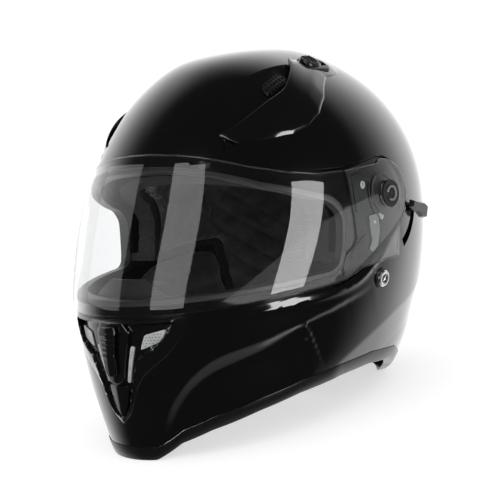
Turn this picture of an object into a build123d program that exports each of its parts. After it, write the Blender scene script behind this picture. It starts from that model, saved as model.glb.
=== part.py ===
"""Full-face motorcycle helmet with a clear face shield, an inner sun visor and sliding vents.

The frame: +Z up, the wearer looks along -Y, +X is the wearer's left. The origin is on the
surface that the helmet stands on, under the middle of its bounding box. Millimetres.
"""

import os
from math import copysign, cos, pi, radians, sin

from build123d import *

# ---- driving dimensions -------------------------------------------------------------------
# The outer form as level rings: height, reach to the front, reach to the back, half width, and
# how far the wall leans in there, in degrees.
RINGS = (
    (-6, 164, 104, 72, 0),
    (0, 165, 108, 76, 0),
    (26, 167, 122, 94, 0),
    (58, 168, 134, 106, 0),
    (95, 166, 144, 115, 0),
    (132, 154, 150, 120, 0),
    (169, 137, 149, 119, 9),
    (206, 118, 137, 108, 25),
    (238, 94, 112, 87, 40),
    (259, 70, 83, 63, 55),
    (272, 45, 55, 38, 69),
    (275.9, 21, 28, 19, 80),
)
CROWN = 277.0  # height of the top of the outer form
FRONT_POWER = 2.15  # how square a ring is towards the face
BACK_POWER = 2.1
RING_POINTS = 24

CLEAR = 150.0  # a distance from the middle that lies outside the helmet on both sides

SHELL_WALL = 4.6
TRIM_HEIGHT = 10.0
TRIM_DEPTH = 7.0
PIVOT_Y = 11.0  # the face shield's axis runs along X through here
PIVOT_Z = 158.0
SHIELD_GAP = 1.0  # between the outer form and the face shield's inner face
SHIELD_WALL = 2.2
SHIELD_EAR = 25.0  # radius of the face shield's round ends
SHIELD_BOTTOM = 104.0
POCKET_DEPTH = 3.4  # side pockets in the shell for the base plates
POCKET_MARGIN = 3.0
PLATE_TOP = 1.8  # depth of the base plate's outer face under the outer form
HUB_RADIUS = 10.0
RUNNING_GAP = 0.05

SEAL_WIDTH = 4.0
EPS_OUTSIDE = 5.0  # depth of the foam's outside under the outer form
EPS_INSIDE = 36.0
LINER_INSIDE = 43.0
SUN_RADIUS = 122.0  # of the sun visor's outer face, from the pivot axis at mid width
SUN_HALF = 115.0  # half axis along X of that face
SUN_WALL = 2.0
SUN_EDGE = 105.0  # half width of the sun visor
SUN_LOW, SUN_HIGH = 19.0, 52.0  # degrees above the horizon that it covers when put away
LEVER_RADIUS = 45.0  # of the sun visor lever's slot, about the pivot axis
LEVER_REST, LEVER_DOWN = -23.0, -59.0  # degrees, towards the back and down
STRAP_WIDTH, STRAP_WALL, STRAP_Y = 24.0, 1.6, -6.0

# Side outlines, as (y, z). The first and last points lie well in front of the helmet.
SHIELD_TOP = ((-230, 262), (-122, 213), (-106, 203), (-90, 193.5), (-72, 186.5), (-53, 182), (-30, 180.5))
EYEPORT = ((-230, 110), (-62, 110), (-48, 112), (-42, 128), (-37, 150), (-43, 163), (-58, 170),
           (-90, 183), (-118, 200), (-230, 250))
FRAME_Y = 11.3  # the forms are drawn this far in front of the bounding box's middle
RIM = ((-230, 0), (-160, 0), (-152, 10), (-136, 17), (-107, 24), (-76, 29), (-40, 31), (0, 30),
       (40, 24), (70, 10), (84, 0), (230, 0))
# The base plate's front edge, as (y, z) from below the face shield's corner upwards.
PLATE_FRONT = ((-43, 115), (-39, 122), (-31, 126), (-27, 131), (-28, 160))

# The chin vent's outline, half of it, as (x, z) from the top edge's middle down to the tip.
CHIN_VENT = ((0, 101), (60, 101), (54, 88), (43, 76), (24, 60), (10, 36), (0, 28))
CHIN_INTAKE = ((25, 83), (29, 91), (44, 94), (38, 84))
CHIN_SLOT_Z = 79.0  # middle of the slot behind the chin vent's slider
# The top vent's fairing and its scoop on the left side, seen from above.
TOP_VENT = ((60, -95), (68, -84), (74, -72), (78, -59), (80, -49), (79, -40), (75, -30), (61, -8),
            (57, 14), (57, 28), (59, 41), (65, 44), (74, 34), (76, 14), (79, 7), (89, -8),
            (95, -22), (97, -45), (92, -58), (79, -81), (72, -90))

os.makedirs("parts", exist_ok=True)


def save(part, name):
    """Moves one finished piece into the helmet's frame and writes it to its own file."""
    piece = part.moved(Location((0, FRAME_Y, 0)))
    piece.label = name
    export_step(piece, f"parts/{name}.step")


# ---- the forms that the pieces are cut from --------------------------------------------------
def ring_points(front, back, half):
    """A superellipse whose front and back reach differ."""
    points = []
    for i in range(RING_POINTS):
        angle = 2 * pi * i / RING_POINTS
        c, s = cos(angle), sin(angle)
        power = 2 / (FRONT_POWER if s < 0 else BACK_POWER)
        reach = front if s < 0 else back
        points.append((half * copysign(abs(c) ** power, c), reach * copysign(abs(s) ** power, s)))
    return points


def form(growth):
    """The helmet's outer form, grown or shrunk by a distance, solid down to its lowest ring."""
    rings = []
    for height, front, back, half, lean in RINGS:
        rise, out = growth * sin(radians(lean)), growth * cos(radians(lean))
        with BuildSketch(Plane.XY.offset(height + rise)) as ring:
            with BuildLine():
                Spline(*ring_points(front + out, back + out, half + out), periodic=True)
            make_face()
        rings.append(ring.sketch.face())
    with BuildPart() as solid:
        loft(rings + [Vertex(0, 4, CROWN + growth)])
    return solid.part


FORMS = {}


def inner(depth):
    """The outer form shrunk by a depth, made once."""
    if depth not in FORMS:
        FORMS[depth] = form(-depth)
    return FORMS[depth]


def layer(outside, inside):
    """The space between two depths under the outer form."""
    with BuildPart() as skin:
        add(inner(outside))
        add(inner(inside), mode=Mode.SUBTRACT)
    return skin.part


def prism(points, plane, near, far, radius=0):
    """A polygon drawn on a plane and carried from one distance to another along its normal."""
    with BuildPart() as block:
        with BuildSketch(plane.offset(near)) as outline:
            with BuildLine():
                Polyline(*points, points[0])
            make_face()
            if radius:
                fillet(outline.vertices(), radius)
        extrude(amount=far - near)
    return block.part


def side(points, near=-CLEAR, far=CLEAR, radius=0):
    """A prism along X with a side outline of (y, z) points."""
    return prism(points, Plane.YZ, near, far, radius)


def disc(y, z, radius, near, far):
    """A round bar along X."""
    with BuildPart() as bar:
        with BuildSketch(Plane.YZ.offset(near)):
            with Locations((y, z)):
                Circle(radius)
        extrude(amount=far - near)
    return bar.part


def both_sides(part):
    """A left piece and its mirror image."""
    with BuildPart() as pair:
        add(part)
        mirror(part, about=Plane.YZ)
    return pair.part


def mirrored(part):
    """The right-hand copy of a left piece."""
    with BuildPart() as copy:
        mirror(part, about=Plane.YZ)
    return copy.part


def about_pivot(radius, angle):
    """A point (y, z) at a radius and an angle in degrees about the pivot axis."""
    return PIVOT_Y + radius * cos(radians(angle)), PIVOT_Z + radius * sin(radians(angle))


def turned_points(points, centre, angle):
    """Points (y, z) turned about a centre by an angle in degrees."""
    c, s = cos(radians(angle)), sin(radians(angle))
    moved = [(y - centre[0], z - centre[1]) for y, z in points]
    return [(centre[0] + y * c - z * s, centre[1] + y * s + z * c) for y, z in moved]


def arc_slot(radius, width, start, end):
    """A curved slot's outline about the pivot axis, as (y, z) points."""
    steps = 12
    angles = [start + (end - start) * i / steps for i in range(steps + 1)]
    far_edge = [about_pivot(radius + width / 2, a) for a in angles]
    near_edge = [about_pivot(radius - width / 2, a) for a in reversed(angles)]
    return far_edge + near_edge


# ---- outlines shared by several pieces ------------------------------------------------------
def shield_outline(margin=0.0):
    """The face shield's side outline, grown by a margin, with a round end about the pivot."""
    radius = SHIELD_EAR + margin
    top = [(y, z + margin) for y, z in SHIELD_TOP]
    ear = [about_pivot(radius, a) for a in range(100, -62, -9)]
    corner = (-26 + margin * 0.5, 110 - margin)
    low = [corner, (-46, SHIELD_BOTTOM + 0.6 - margin), (-62, SHIELD_BOTTOM - margin),
           (-230, SHIELD_BOTTOM - margin)]
    return top + ear + low


def below_rim(rise):
    """Everything under the rim line raised by a distance."""
    raised = [(y, z + rise) for y, z in RIM]
    return side(raised + [(230, -20), (-230, -20)])


def sun_band(outside, inside, half, low, high):
    """A stretch of a barrel-shaped wall about the pivot axis, between two growths of its radii."""
    with BuildPart() as band:
        with BuildSketch(Plane((0, PIVOT_Y, PIVOT_Z), x_dir=(1, 0, 0),
                               z_dir=(0, -sin(radians(low)), -cos(radians(low))))) as wall:
            Ellipse(SUN_HALF + outside, SUN_RADIUS + outside)
            Ellipse(SUN_HALF + inside, SUN_RADIUS + inside, mode=Mode.SUBTRACT)
            with Locations((0, SUN_RADIUS)):
                Rectangle(2 * half, 2 * SUN_RADIUS, mode=Mode.INTERSECT)
        revolve(wall.sketch, Axis((0, PIVOT_Y, PIVOT_Z), (1, 0, 0)), low - high)
    return band.part


def on_form(point, direction):
    """A plane on the outer form where a line meets it, facing outwards."""
    hits = inner(0).find_intersection_points(Axis(point, direction))
    spot, normal = max(hits, key=lambda hit: (hit[0] - Vector(*point)).dot(Vector(*direction)))
    return Plane(origin=spot, z_dir=normal)


def turned(plane, shape, low, high):
    """A sketch of circles drawn on a plane and carried from one depth to another."""
    with BuildPart() as piece:
        with BuildSketch(plane.offset(low)):
            for radius, mode in shape:
                Circle(radius, mode=mode)
        extrude(amount=high - low)
    return piece.part


def ribbon(points, wall, near, far):
    """A flat band of even thickness that follows points (x, z), carried along Y."""
    with BuildPart() as band:
        with BuildSketch(Plane.XZ.offset(-far)):
            with BuildLine():
                FilletPolyline(*points, radius=9)
            trace(line_width=wall)
        extrude(amount=far - near)
    return band.part


def cut(base, *tools):
    """The base with every tool taken away from it."""
    with BuildPart() as piece:
        add(base)
        for tool in tools:
            add(tool, mode=Mode.SUBTRACT)
    return piece.part


def common(base, *tools):
    """What the base and every tool share."""
    with BuildPart() as piece:
        add(base)
        for tool in tools:
            add(tool, mode=Mode.INTERSECT)
    return piece.part


EYEPORT_HOLE = side(EYEPORT, radius=2)


def inset_eyeport(inset):
    """The eyeport's side outline, moved inwards (or outwards when negative)."""
    with BuildPart() as hole:
        with BuildSketch(Plane.YZ.offset(-CLEAR)) as outline:
            with BuildLine():
                Polyline(*EYEPORT, EYEPORT[0])
            make_face()
            offset(amount=-inset, kind=Kind.INTERSECTION)
        extrude(amount=2 * CLEAR)
    return hole.part


# ---- outer shell --------------------------------------------------------------------------
# Its eyeport, the pockets for the base plates, the slot for the sun visor's lever, the
# intakes under the vents, and the rivets' holes.
POCKET = [point for point in shield_outline(POCKET_MARGIN) if point[0] > -52]
POCKET = [(-52, 182 + POCKET_MARGIN)] + POCKET + [(-52, SHIELD_BOTTOM - POCKET_MARGIN)]
RIVET = on_form((0, -1, 97), (1, 0, 0))
LEVER_SLOT = side(arc_slot(LEVER_RADIUS, 7, LEVER_REST + 6, LEVER_DOWN - 6), 90, CLEAR)
TOP_HOLE = (68, -38)
BACK_HOLES = ((-20, 206), (20, 206))
SCREW_SPOTS = ((2, 143), (-14, 168))
SCREW_HOLE, SCREW_SHANK = 1.6, 1.5  # radii
SCREW_SINK, SCREW_HEAD = 3.1, 2.8  # radii of the countersink and of the head in it
RIVET_SHANK, RIVET_HOLE = 3.0, 3.1  # radii
RIVET_HEAD, RIVET_FOOT, WASHER = 8.0, 4.6, 9.2

with BuildPart() as shell:
    add(layer(0, SHELL_WALL))
    add(below_rim(TRIM_HEIGHT + 0.1), mode=Mode.SUBTRACT)
    add(EYEPORT_HOLE, mode=Mode.SUBTRACT)
    add(common(layer(0, POCKET_DEPTH), side(POCKET)), mode=Mode.SUBTRACT)
    add(LEVER_SLOT, mode=Mode.SUBTRACT)
    add(both_sides(turned(RIVET, [(RIVET_HOLE, Mode.ADD)], -8, 4)), mode=Mode.SUBTRACT)
    for y, z in SCREW_SPOTS:
        add(disc(y, z, SCREW_HOLE, -CLEAR, CLEAR), mode=Mode.SUBTRACT)
    with BuildSketch(Plane.XY.offset(150)):
        with Locations(TOP_HOLE, (-TOP_HOLE[0], TOP_HOLE[1])):
            SlotOverall(24, 9, rotation=90)
    extrude(amount=150, mode=Mode.SUBTRACT)
    with BuildSketch(Plane.XZ.offset(-170)):
        with Locations(*BACK_HOLES):
            SlotOverall(18, 7)
    extrude(amount=70, mode=Mode.SUBTRACT)
    with BuildSketch(Plane.XZ.offset(120)):
        with Locations((34, 87), (-34, 87)):
            SlotOverall(13, 7)
        with Locations((0, CHIN_SLOT_Z)):
            SlotOverall(30, 5.5, rotation=90)
    extrude(amount=60, mode=Mode.SUBTRACT)
save(shell.part, "outer_shell")

# ---- rubber edges -------------------------------------------------------------------------
with BuildPart() as trim:
    add(layer(-0.5, TRIM_DEPTH))
    add(below_rim(0), mode=Mode.SUBTRACT)
    add(below_rim(TRIM_HEIGHT), mode=Mode.INTERSECT)
save(trim.part, "bottom_trim")

with BuildPart() as seal:
    add(layer(-0.5, 8))
    add(inset_eyeport(0.1), mode=Mode.INTERSECT)
    add(inset_eyeport(SEAL_WIDTH), mode=Mode.SUBTRACT)
save(seal.part, "eyeport_seal")

# ---- face shield and its mechanism ---------------------------------------------------------
HUB_HIGH = 124.5
with BuildPart() as shield:
    add(layer(-(SHIELD_GAP + SHIELD_WALL), -SHIELD_GAP))
    add(side(shield_outline()), mode=Mode.INTERSECT)
    add(disc(PIVOT_Y, PIVOT_Z, HUB_RADIUS, -CLEAR, CLEAR), mode=Mode.SUBTRACT)
    # the thumb tab on the lower edge, at the wearer's left
    tab = on_form((0, 0, SHIELD_BOTTOM + 4), (72, -135, 0))
    with BuildSketch(Plane(tab.origin, x_dir=tab.z_dir.cross(Vector(0, 0, 1)), z_dir=tab.z_dir).offset(2)):
        RectangleRounded(24, 7, 2.5)
    extrude(amount=5.5, taper=12)
save(shield.part, "face_shield")

plate_outline = shield_outline(POCKET_MARGIN - 0.8)
plate_side = [p for p in plate_outline if p[0] > -27.5]
plate_side = [(-27.5, 180.5)] + plate_side
plate_side = [p for p in plate_side if p[1] > 111] + [(-40, 105), *PLATE_FRONT]
LATCH = (-8, 140)  # the release lever's pin, as (y, z)
LATCH_ARM = ((-12.5, 144.5), (-3.5, 144.5), (-3.5, 133), (-6.5, 123), (-12.5, 119.5), (-15, 122),
             (-11.5, 127), (-12.5, 134))
LATCH_TURN = 8  # degrees that the release lever swings, its tip to the back
with BuildPart() as plate:
    add(layer(PLATE_TOP, POCKET_DEPTH - 0.1))
    add(side(plate_side, 60, CLEAR, radius=1.2), mode=Mode.INTERSECT)
    for turn in (0, LATCH_TURN / 2, LATCH_TURN):
        with BuildSketch(Plane.YZ.offset(60)):
            with BuildLine():
                Polyline(*turned_points(LATCH_ARM, LATCH, turn), close=True)
            make_face()
            offset(amount=1.4)
        extrude(amount=90, mode=Mode.SUBTRACT)
    add(disc(PIVOT_Y, PIVOT_Z, HUB_RADIUS - RUNNING_GAP, 117.2, HUB_HIGH))
    add(disc(PIVOT_Y, PIVOT_Z, 6.5, HUB_HIGH - 1.6, CLEAR), mode=Mode.SUBTRACT)
    for y, z in SCREW_SPOTS:
        face = on_form((0, y, z), (1, 0, 0)).origin.X - PLATE_TOP
        add(disc(y, z, SCREW_HOLE, 90, CLEAR), mode=Mode.SUBTRACT)
        add(disc(y, z, SCREW_SINK, face - 1, CLEAR), mode=Mode.SUBTRACT)
    # the raised arc that the shield's ear slides on
    with BuildSketch(Plane.YZ.offset(117)):
        with BuildLine():
            Polyline(*arc_slot(17, 2.2, 120, 200), close=True)
        make_face()
    extrude(amount=1.6)
save(plate.part, "base_plate_left")
save(mirrored(plate.part), "base_plate_right")

with BuildPart() as latch:
    add(layer(PLATE_TOP - 0.9, POCKET_DEPTH - 0.5))
    with BuildSketch(Plane.YZ.offset(60)):
        with BuildLine():
            Polyline(*LATCH_ARM, LATCH_ARM[0])
        make_face()
        offset(amount=0.9)
        with Locations(LATCH):
            Circle(1.3, mode=Mode.SUBTRACT)
    extrude(amount=90, mode=Mode.INTERSECT)
save(latch.part, "release_lever_left")
save(mirrored(latch.part), "release_lever_right")
latch_pin = common(disc(*LATCH, 1.25, 112, CLEAR), layer(PLATE_TOP - 1.3, POCKET_DEPTH - 0.15))
save(latch_pin, "release_lever_pin_left")
save(mirrored(latch_pin), "release_lever_pin_right")

with BuildPart() as plate_screws:
    for y, z in SCREW_SPOTS:
        seat = on_form((0, y, z), (1, 0, 0)).origin.X - PLATE_TOP
        add(disc(y, z, SCREW_SHANK, seat - 6, seat - 0.9))
        add(disc(y, z, SCREW_HEAD, seat - 0.9, seat + 0.3))
        with BuildSketch(Plane.YZ.offset(seat - 0.4)):
            with Locations((y, z)):
                Rectangle(3.6, 0.7)
                Rectangle(0.7, 3.6)
        extrude(amount=2, mode=Mode.SUBTRACT)
save(both_sides(plate_screws.part), "base_plate_screws")

with BuildPart() as hub:
    with BuildSketch(Plane.YZ.offset(HUB_HIGH - 1.5)):
        with Locations((PIVOT_Y, PIVOT_Z)):
            Circle(6.4)
    extrude(amount=2.4)
    chamfer(hub.faces().sort_by(Axis.X)[-1].edges(), 0.6)
    with BuildSketch(Plane.YZ.offset(HUB_HIGH)):
        with Locations((PIVOT_Y, PIVOT_Z)):
            Rectangle(1.6, 9)
    extrude(amount=2, mode=Mode.SUBTRACT)
save(hub.part, "shield_hub_left")
save(mirrored(hub.part), "shield_hub_right")

# ---- chin vent ----------------------------------------------------------------------------
CHIN_OUTLINE = [*CHIN_VENT, *[(-x, z) for x, z in reversed(CHIN_VENT[1:-1])]]
CHIN_FRONT = Plane.XZ.offset(100)


def intake(growth=0.0):
    """The two openings beside the chin vent's tongue."""
    with BuildPart() as pair:
        with BuildSketch(CHIN_FRONT) as windows:
            with BuildLine():
                Polyline(*CHIN_INTAKE, close=True)
            make_face()
            mirror(about=Plane.YZ)
            if growth:
                offset(amount=growth)
        extrude(amount=100)
    return pair.part


with BuildPart() as chin_vent:
    add(layer(-2.0, -0.1))
    add(prism(CHIN_OUTLINE, Plane.XZ, 100, 200, radius=1.5), mode=Mode.INTERSECT)
    add(intake(), mode=Mode.SUBTRACT)
    with BuildSketch(CHIN_FRONT):
        with Locations((0, CHIN_SLOT_Z)):
            SlotOverall(34, 5.2, rotation=90)
    extrude(amount=100, mode=Mode.SUBTRACT)
save(chin_vent.part, "chin_vent_housing")

MESH_PITCH = 4.0
with BuildPart() as mesh:
    add(layer(-1.5, -0.3))
    add(intake(-0.15), mode=Mode.INTERSECT)
    with BuildSketch(CHIN_FRONT):
        with GridLocations(MESH_PITCH, MESH_PITCH, 26, 6):
            with Locations((0, 88)):
                Rectangle(2.6, 2.6, rotation=45)
    extrude(amount=100, mode=Mode.SUBTRACT)
save(mesh.part, "chin_vent_mesh")

with BuildPart() as chin_slider:
    add(layer(-5.4, -3.4))
    add(prism(((-7, 97), (7, 97), (5, 66), (3, 62), (-3, 62), (-5, 66)), Plane.XZ, 100, 200, radius=1),
        mode=Mode.INTERSECT)
    add(common(layer(-3.7, 5.6), prism(((-2, 90), (2, 90), (2, 73), (-2, 73)), Plane.XZ, 100, 200)))
save(chin_slider.part, "chin_vent_slider")

# ---- top vents ----------------------------------------------------------------------------
TOP_SLOT = (67.5, 11)
slide_points = [on_form((TOP_SLOT[0], y, 120), (0, 0, 1)).origin for y in (3, 19)]
SLIDE_WAY = (slide_points[1] - slide_points[0]).normalized()
SLIDE_UP = SLIDE_WAY.cross(on_form((TOP_SLOT[0], TOP_SLOT[1], 120), (0, 0, 1)).z_dir)
SLIDE_UP = SLIDE_UP.cross(SLIDE_WAY) * -1
slide_seat = on_form((TOP_SLOT[0], TOP_SLOT[1], 120), (0, 0, 1)).origin
SLIDE_PLANE = Plane(origin=slide_seat, x_dir=SLIDE_WAY,
                    z_dir=SLIDE_UP if SLIDE_UP.Z > 0 else SLIDE_UP * -1)

with BuildPart() as top_vent:
    add(layer(-4.5, -0.1))
    add(prism(TOP_VENT, Plane.XY, 180, 300, radius=2), mode=Mode.INTERSECT)
    # the scoop, open to the front
    add(prism(((40, -96), (64, -96), (69, -82), (74, -71), (76, -58), (76, -44), (71, -33), (62, -24),
               (40, -20)), Plane.XY, 180, 300), mode=Mode.SUBTRACT)
    with BuildSketch(SLIDE_PLANE.offset(-8)):
        SlotOverall(22, 4.6)
    extrude(amount=20, mode=Mode.SUBTRACT)
    with BuildSketch(SLIDE_PLANE.offset(3.2)):
        SlotOverall(29, 13)
    extrude(amount=10, mode=Mode.SUBTRACT)
save(top_vent.part, "top_vent_cover_left")
save(mirrored(top_vent.part), "top_vent_cover_right")

with BuildPart() as top_slider:
    with BuildSketch(SLIDE_PLANE.offset(3.6)):
        with Locations((-3.5, 0)):
            RectangleRounded(15, 10, 3)
    extrude(amount=3.4, taper=14)
    with BuildSketch(SLIDE_PLANE.offset(0.8)):
        with Locations((-3.5, 0)):
            Rectangle(9, 3.8)
    extrude(amount=3.2)
save(top_slider.part, "top_vent_slider_left")
save(mirrored(top_slider.part), "top_vent_slider_right")

with BuildPart() as scoop_mesh:
    with BuildSketch(Plane.XY.offset(180)):
        with Locations(TOP_HOLE):
            SlotOverall(23.6, 8.6, rotation=90)
            with GridLocations(3.2, 3.2, 3, 7):
                Rectangle(2.1, 2.1, mode=Mode.SUBTRACT)
    extrude(amount=100)
    add(layer(1.2, 2.4), mode=Mode.INTERSECT)
save(both_sides(scoop_mesh.part), "top_vent_mesh")

REAR_VENT = ((-44, 222), (44, 222), (34, 198), (14, 192), (-14, 192), (-34, 198))
with BuildPart() as rear_vent:
    add(layer(-4.5, -0.1))
    add(prism(REAR_VENT, Plane.XZ, -200, -60, radius=3), mode=Mode.INTERSECT)
    with BuildSketch(Plane.XZ.offset(-200)):
        with Locations((-20, 202), (20, 202)):
            SlotOverall(20, 4.5)
    extrude(amount=100, mode=Mode.SUBTRACT)
save(rear_vent.part, "rear_vent_cover")

# ---- chin strap ---------------------------------------------------------------------------
with BuildPart() as rivet:
    add(turned(RIVET, [(RIVET_SHANK, Mode.ADD)], -9.6, 0.8))
    add(turned(RIVET, [(RIVET_HEAD, Mode.ADD)], 0.8, 2.2))
    chamfer(rivet.faces().sort_by(SortBy.DISTANCE, reverse=True)[0].edges(), 0.5)
    add(turned(RIVET, [(RIVET_FOOT, Mode.ADD)], -9.6, -8.5))
save(rivet.part, "strap_rivet_left")
save(mirrored(rivet.part), "strap_rivet_right")
washer = turned(RIVET, [(WASHER, Mode.ADD), (RIVET_HOLE, Mode.SUBTRACT)], 0.05, 0.75)
save(both_sides(washer), "strap_rivet_washers")

STRAP_PATH = ((110.1, 104), (108.1, 91), (101, 69), (87, 46), (76, 33), (56, 24), (37, 24))
STRAP_BACK = [(-x, z) for x, z in STRAP_PATH[:-1]] + [(-2, 24)]
STRAP_NEAR, STRAP_FAR = STRAP_Y - STRAP_WIDTH / 2 + 5, STRAP_Y + STRAP_WIDTH / 2 + 5
SLIT = ribbon(STRAP_PATH, 5.0, STRAP_NEAR - 1.5, STRAP_FAR + 1.5)
RIVET_ROOM = turned(RIVET, [(6.0, Mode.ADD)], -16, 0)
strap_hole = turned(RIVET, [(RIVET_HOLE, Mode.ADD)], -16, 3)
for name, path in (("strap_left", STRAP_PATH), ("strap_right", STRAP_BACK)):
    hole = strap_hole if name == "strap_left" else mirrored(strap_hole)
    save(cut(ribbon(path, STRAP_WALL, STRAP_NEAR, STRAP_FAR), hole), name)

STRAP_MID = (STRAP_NEAR + STRAP_FAR) / 2
BUCKLE_X, BUCKLE_LENGTH, BUCKLE_WIDTH = 29.0, 42.0, 28.0
BUCKLE_FLOOR, BUCKLE_DEPTH = 19.6, 9.0
BUCKLE_AXIS = (13, 21.2)  # the lever's pin, as (x, z)
PIN_RADIUS, PIN_HOLE = 1.0, 1.05
TONGUE_WIDTH = 18.0
with BuildPart() as buckle:
    with BuildSketch(Plane.XY.offset(BUCKLE_FLOOR)):
        with Locations((BUCKLE_X, STRAP_MID)):
            RectangleRounded(BUCKLE_LENGTH, BUCKLE_WIDTH, 4)
    extrude(amount=BUCKLE_DEPTH)
    chamfer(buckle.faces().sort_by(Axis.Z)[-1].edges(), 1)
    # slot for the left strap, channel for the toothed tongue, well for the lever
    with BuildSketch(Plane.XY.offset(22.8)):
        with Locations((30, STRAP_MID)):
            Rectangle(60, 24.6)
    extrude(amount=4.2, mode=Mode.SUBTRACT)
    with BuildSketch(Plane.XY.offset(BUCKLE_FLOOR)):
        with Locations((BUCKLE_X - 3, STRAP_MID)):
            Rectangle(32, 16.8)
    extrude(amount=3.4, mode=Mode.SUBTRACT)
    with BuildSketch(Plane.XZ.offset(-STRAP_MID - 20)):
        with Locations(BUCKLE_AXIS):
            Circle(PIN_HOLE)
    extrude(amount=40, mode=Mode.SUBTRACT)
save(buckle.part, "buckle_housing")

with BuildPart() as buckle_lever:
    with BuildSketch(Plane.XY.offset(17.2)):
        with Locations((BUCKLE_X - 2, STRAP_MID)):
            RectangleRounded(29, 16, 2)
    extrude(amount=2.0)
    with BuildSketch(Plane.XZ.offset(-STRAP_MID - 8)):
        with Locations(BUCKLE_AXIS):
            Circle(1.7)
        with BuildLine():
            Polyline((13, 19.2), (13, 22.9), (17.5, 19.2), close=True)
        make_face()
    extrude(amount=16)
    with BuildSketch(Plane.XZ.offset(-STRAP_MID - 20)):
        with Locations(BUCKLE_AXIS):
            Circle(PIN_HOLE)
    extrude(amount=40, mode=Mode.SUBTRACT)
save(buckle_lever.part, "buckle_lever")

with BuildPart() as buckle_pin:
    with BuildSketch(Plane.XZ.offset(-STRAP_MID - 13.5)):
        with Locations(BUCKLE_AXIS):
            Circle(PIN_RADIUS)
    extrude(amount=27)
save(buckle_pin.part, "buckle_pin")

TEETH, TOOTH = 8, 2.6
with BuildPart() as tongue:
    with BuildSketch(Plane.XZ.offset(-STRAP_MID - TONGUE_WIDTH / 2)):
        with BuildLine():
            profile = [(-16, 24.9), (-16, 26.4), (34, 26.4), (34, 25.4)]
            for i in range(TEETH):
                profile.append((32 - i * TOOTH, 25.7))
                profile.append((32 - (i + 0.9) * TOOTH, 24.9))
            Polyline(*profile, close=True)
        make_face()
    extrude(amount=TONGUE_WIDTH)
save(tongue.part, "buckle_tongue")

# The left strap ends in the buckle and the right one is sewn round the tongue. A padded sleeve
# covers the right strap below the cheek.
SLEEVE_X = -38.0
with BuildPart() as sleeve:
    with BuildSketch(Plane.XY.offset(20.6)):
        with Locations((SLEEVE_X, STRAP_MID)):
            RectangleRounded(34, 32, 5)
    extrude(amount=8)
    with BuildSketch(Plane.XY.offset(22.6)):
        with Locations((SLEEVE_X, STRAP_MID)):
            Rectangle(60, STRAP_WIDTH + 1)
    extrude(amount=4, mode=Mode.SUBTRACT)
save(sleeve.part, "strap_comfort_sleeve")

# ---- sun visor ----------------------------------------------------------------------------
HINGE_X = 103.0  # the sun visor's arms run just outside this
with BuildPart() as sun_visor:
    add(sun_band(0, -SUN_WALL, SUN_EDGE, SUN_LOW, SUN_HIGH))
    # the notch over the nose
    with BuildSketch(Plane.XZ.offset(60)):
        with Locations((0, 184)):
            Circle(24)
    extrude(amount=80, mode=Mode.SUBTRACT)
    for x in (HINGE_X, -HINGE_X - SUN_WALL):
        with BuildSketch(Plane.YZ.offset(x)):
            with BuildLine():
                Polyline(about_pivot(50, 180 - SUN_LOW - 2), about_pivot(50, 180 - SUN_HIGH + 2),
                         about_pivot(8, 180 - SUN_HIGH - 40), about_pivot(8, 180 + SUN_LOW),
                         close=True)
            make_face()
            with Locations((PIVOT_Y, PIVOT_Z)):
                Circle(9)
                Circle(4.0 + RUNNING_GAP, mode=Mode.SUBTRACT)
        extrude(amount=SUN_WALL)
save(sun_visor.part, "sun_visor")

with BuildPart() as bracket:
    add(disc(PIVOT_Y, PIVOT_Z, 14, HINGE_X + 3.4, 130))
    add(inner(SHELL_WALL + 0.05), mode=Mode.INTERSECT)
    add(disc(PIVOT_Y, PIVOT_Z, 4, HINGE_X - 0.4, HINGE_X + 4))
    add(disc(PIVOT_Y, PIVOT_Z, 1.5, HINGE_X - 1, HINGE_X + 8), mode=Mode.SUBTRACT)
save(bracket.part, "sun_visor_bracket_left")
save(mirrored(bracket.part), "sun_visor_bracket_right")

with BuildPart() as sun_screw:
    add(disc(PIVOT_Y, PIVOT_Z, 1.45, HINGE_X - 0.5, HINGE_X + 8))
    add(disc(PIVOT_Y, PIVOT_Z, 6.5, HINGE_X - 2.2, HINGE_X - 0.5))
    with BuildSketch(Plane.YZ.offset(HINGE_X - 3)):
        with Locations((PIVOT_Y, PIVOT_Z)):
            Rectangle(5, 1.1)
            Rectangle(1.1, 5)
    extrude(amount=1.6, mode=Mode.SUBTRACT)
save(both_sides(sun_screw.part), "sun_visor_screws")

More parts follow.
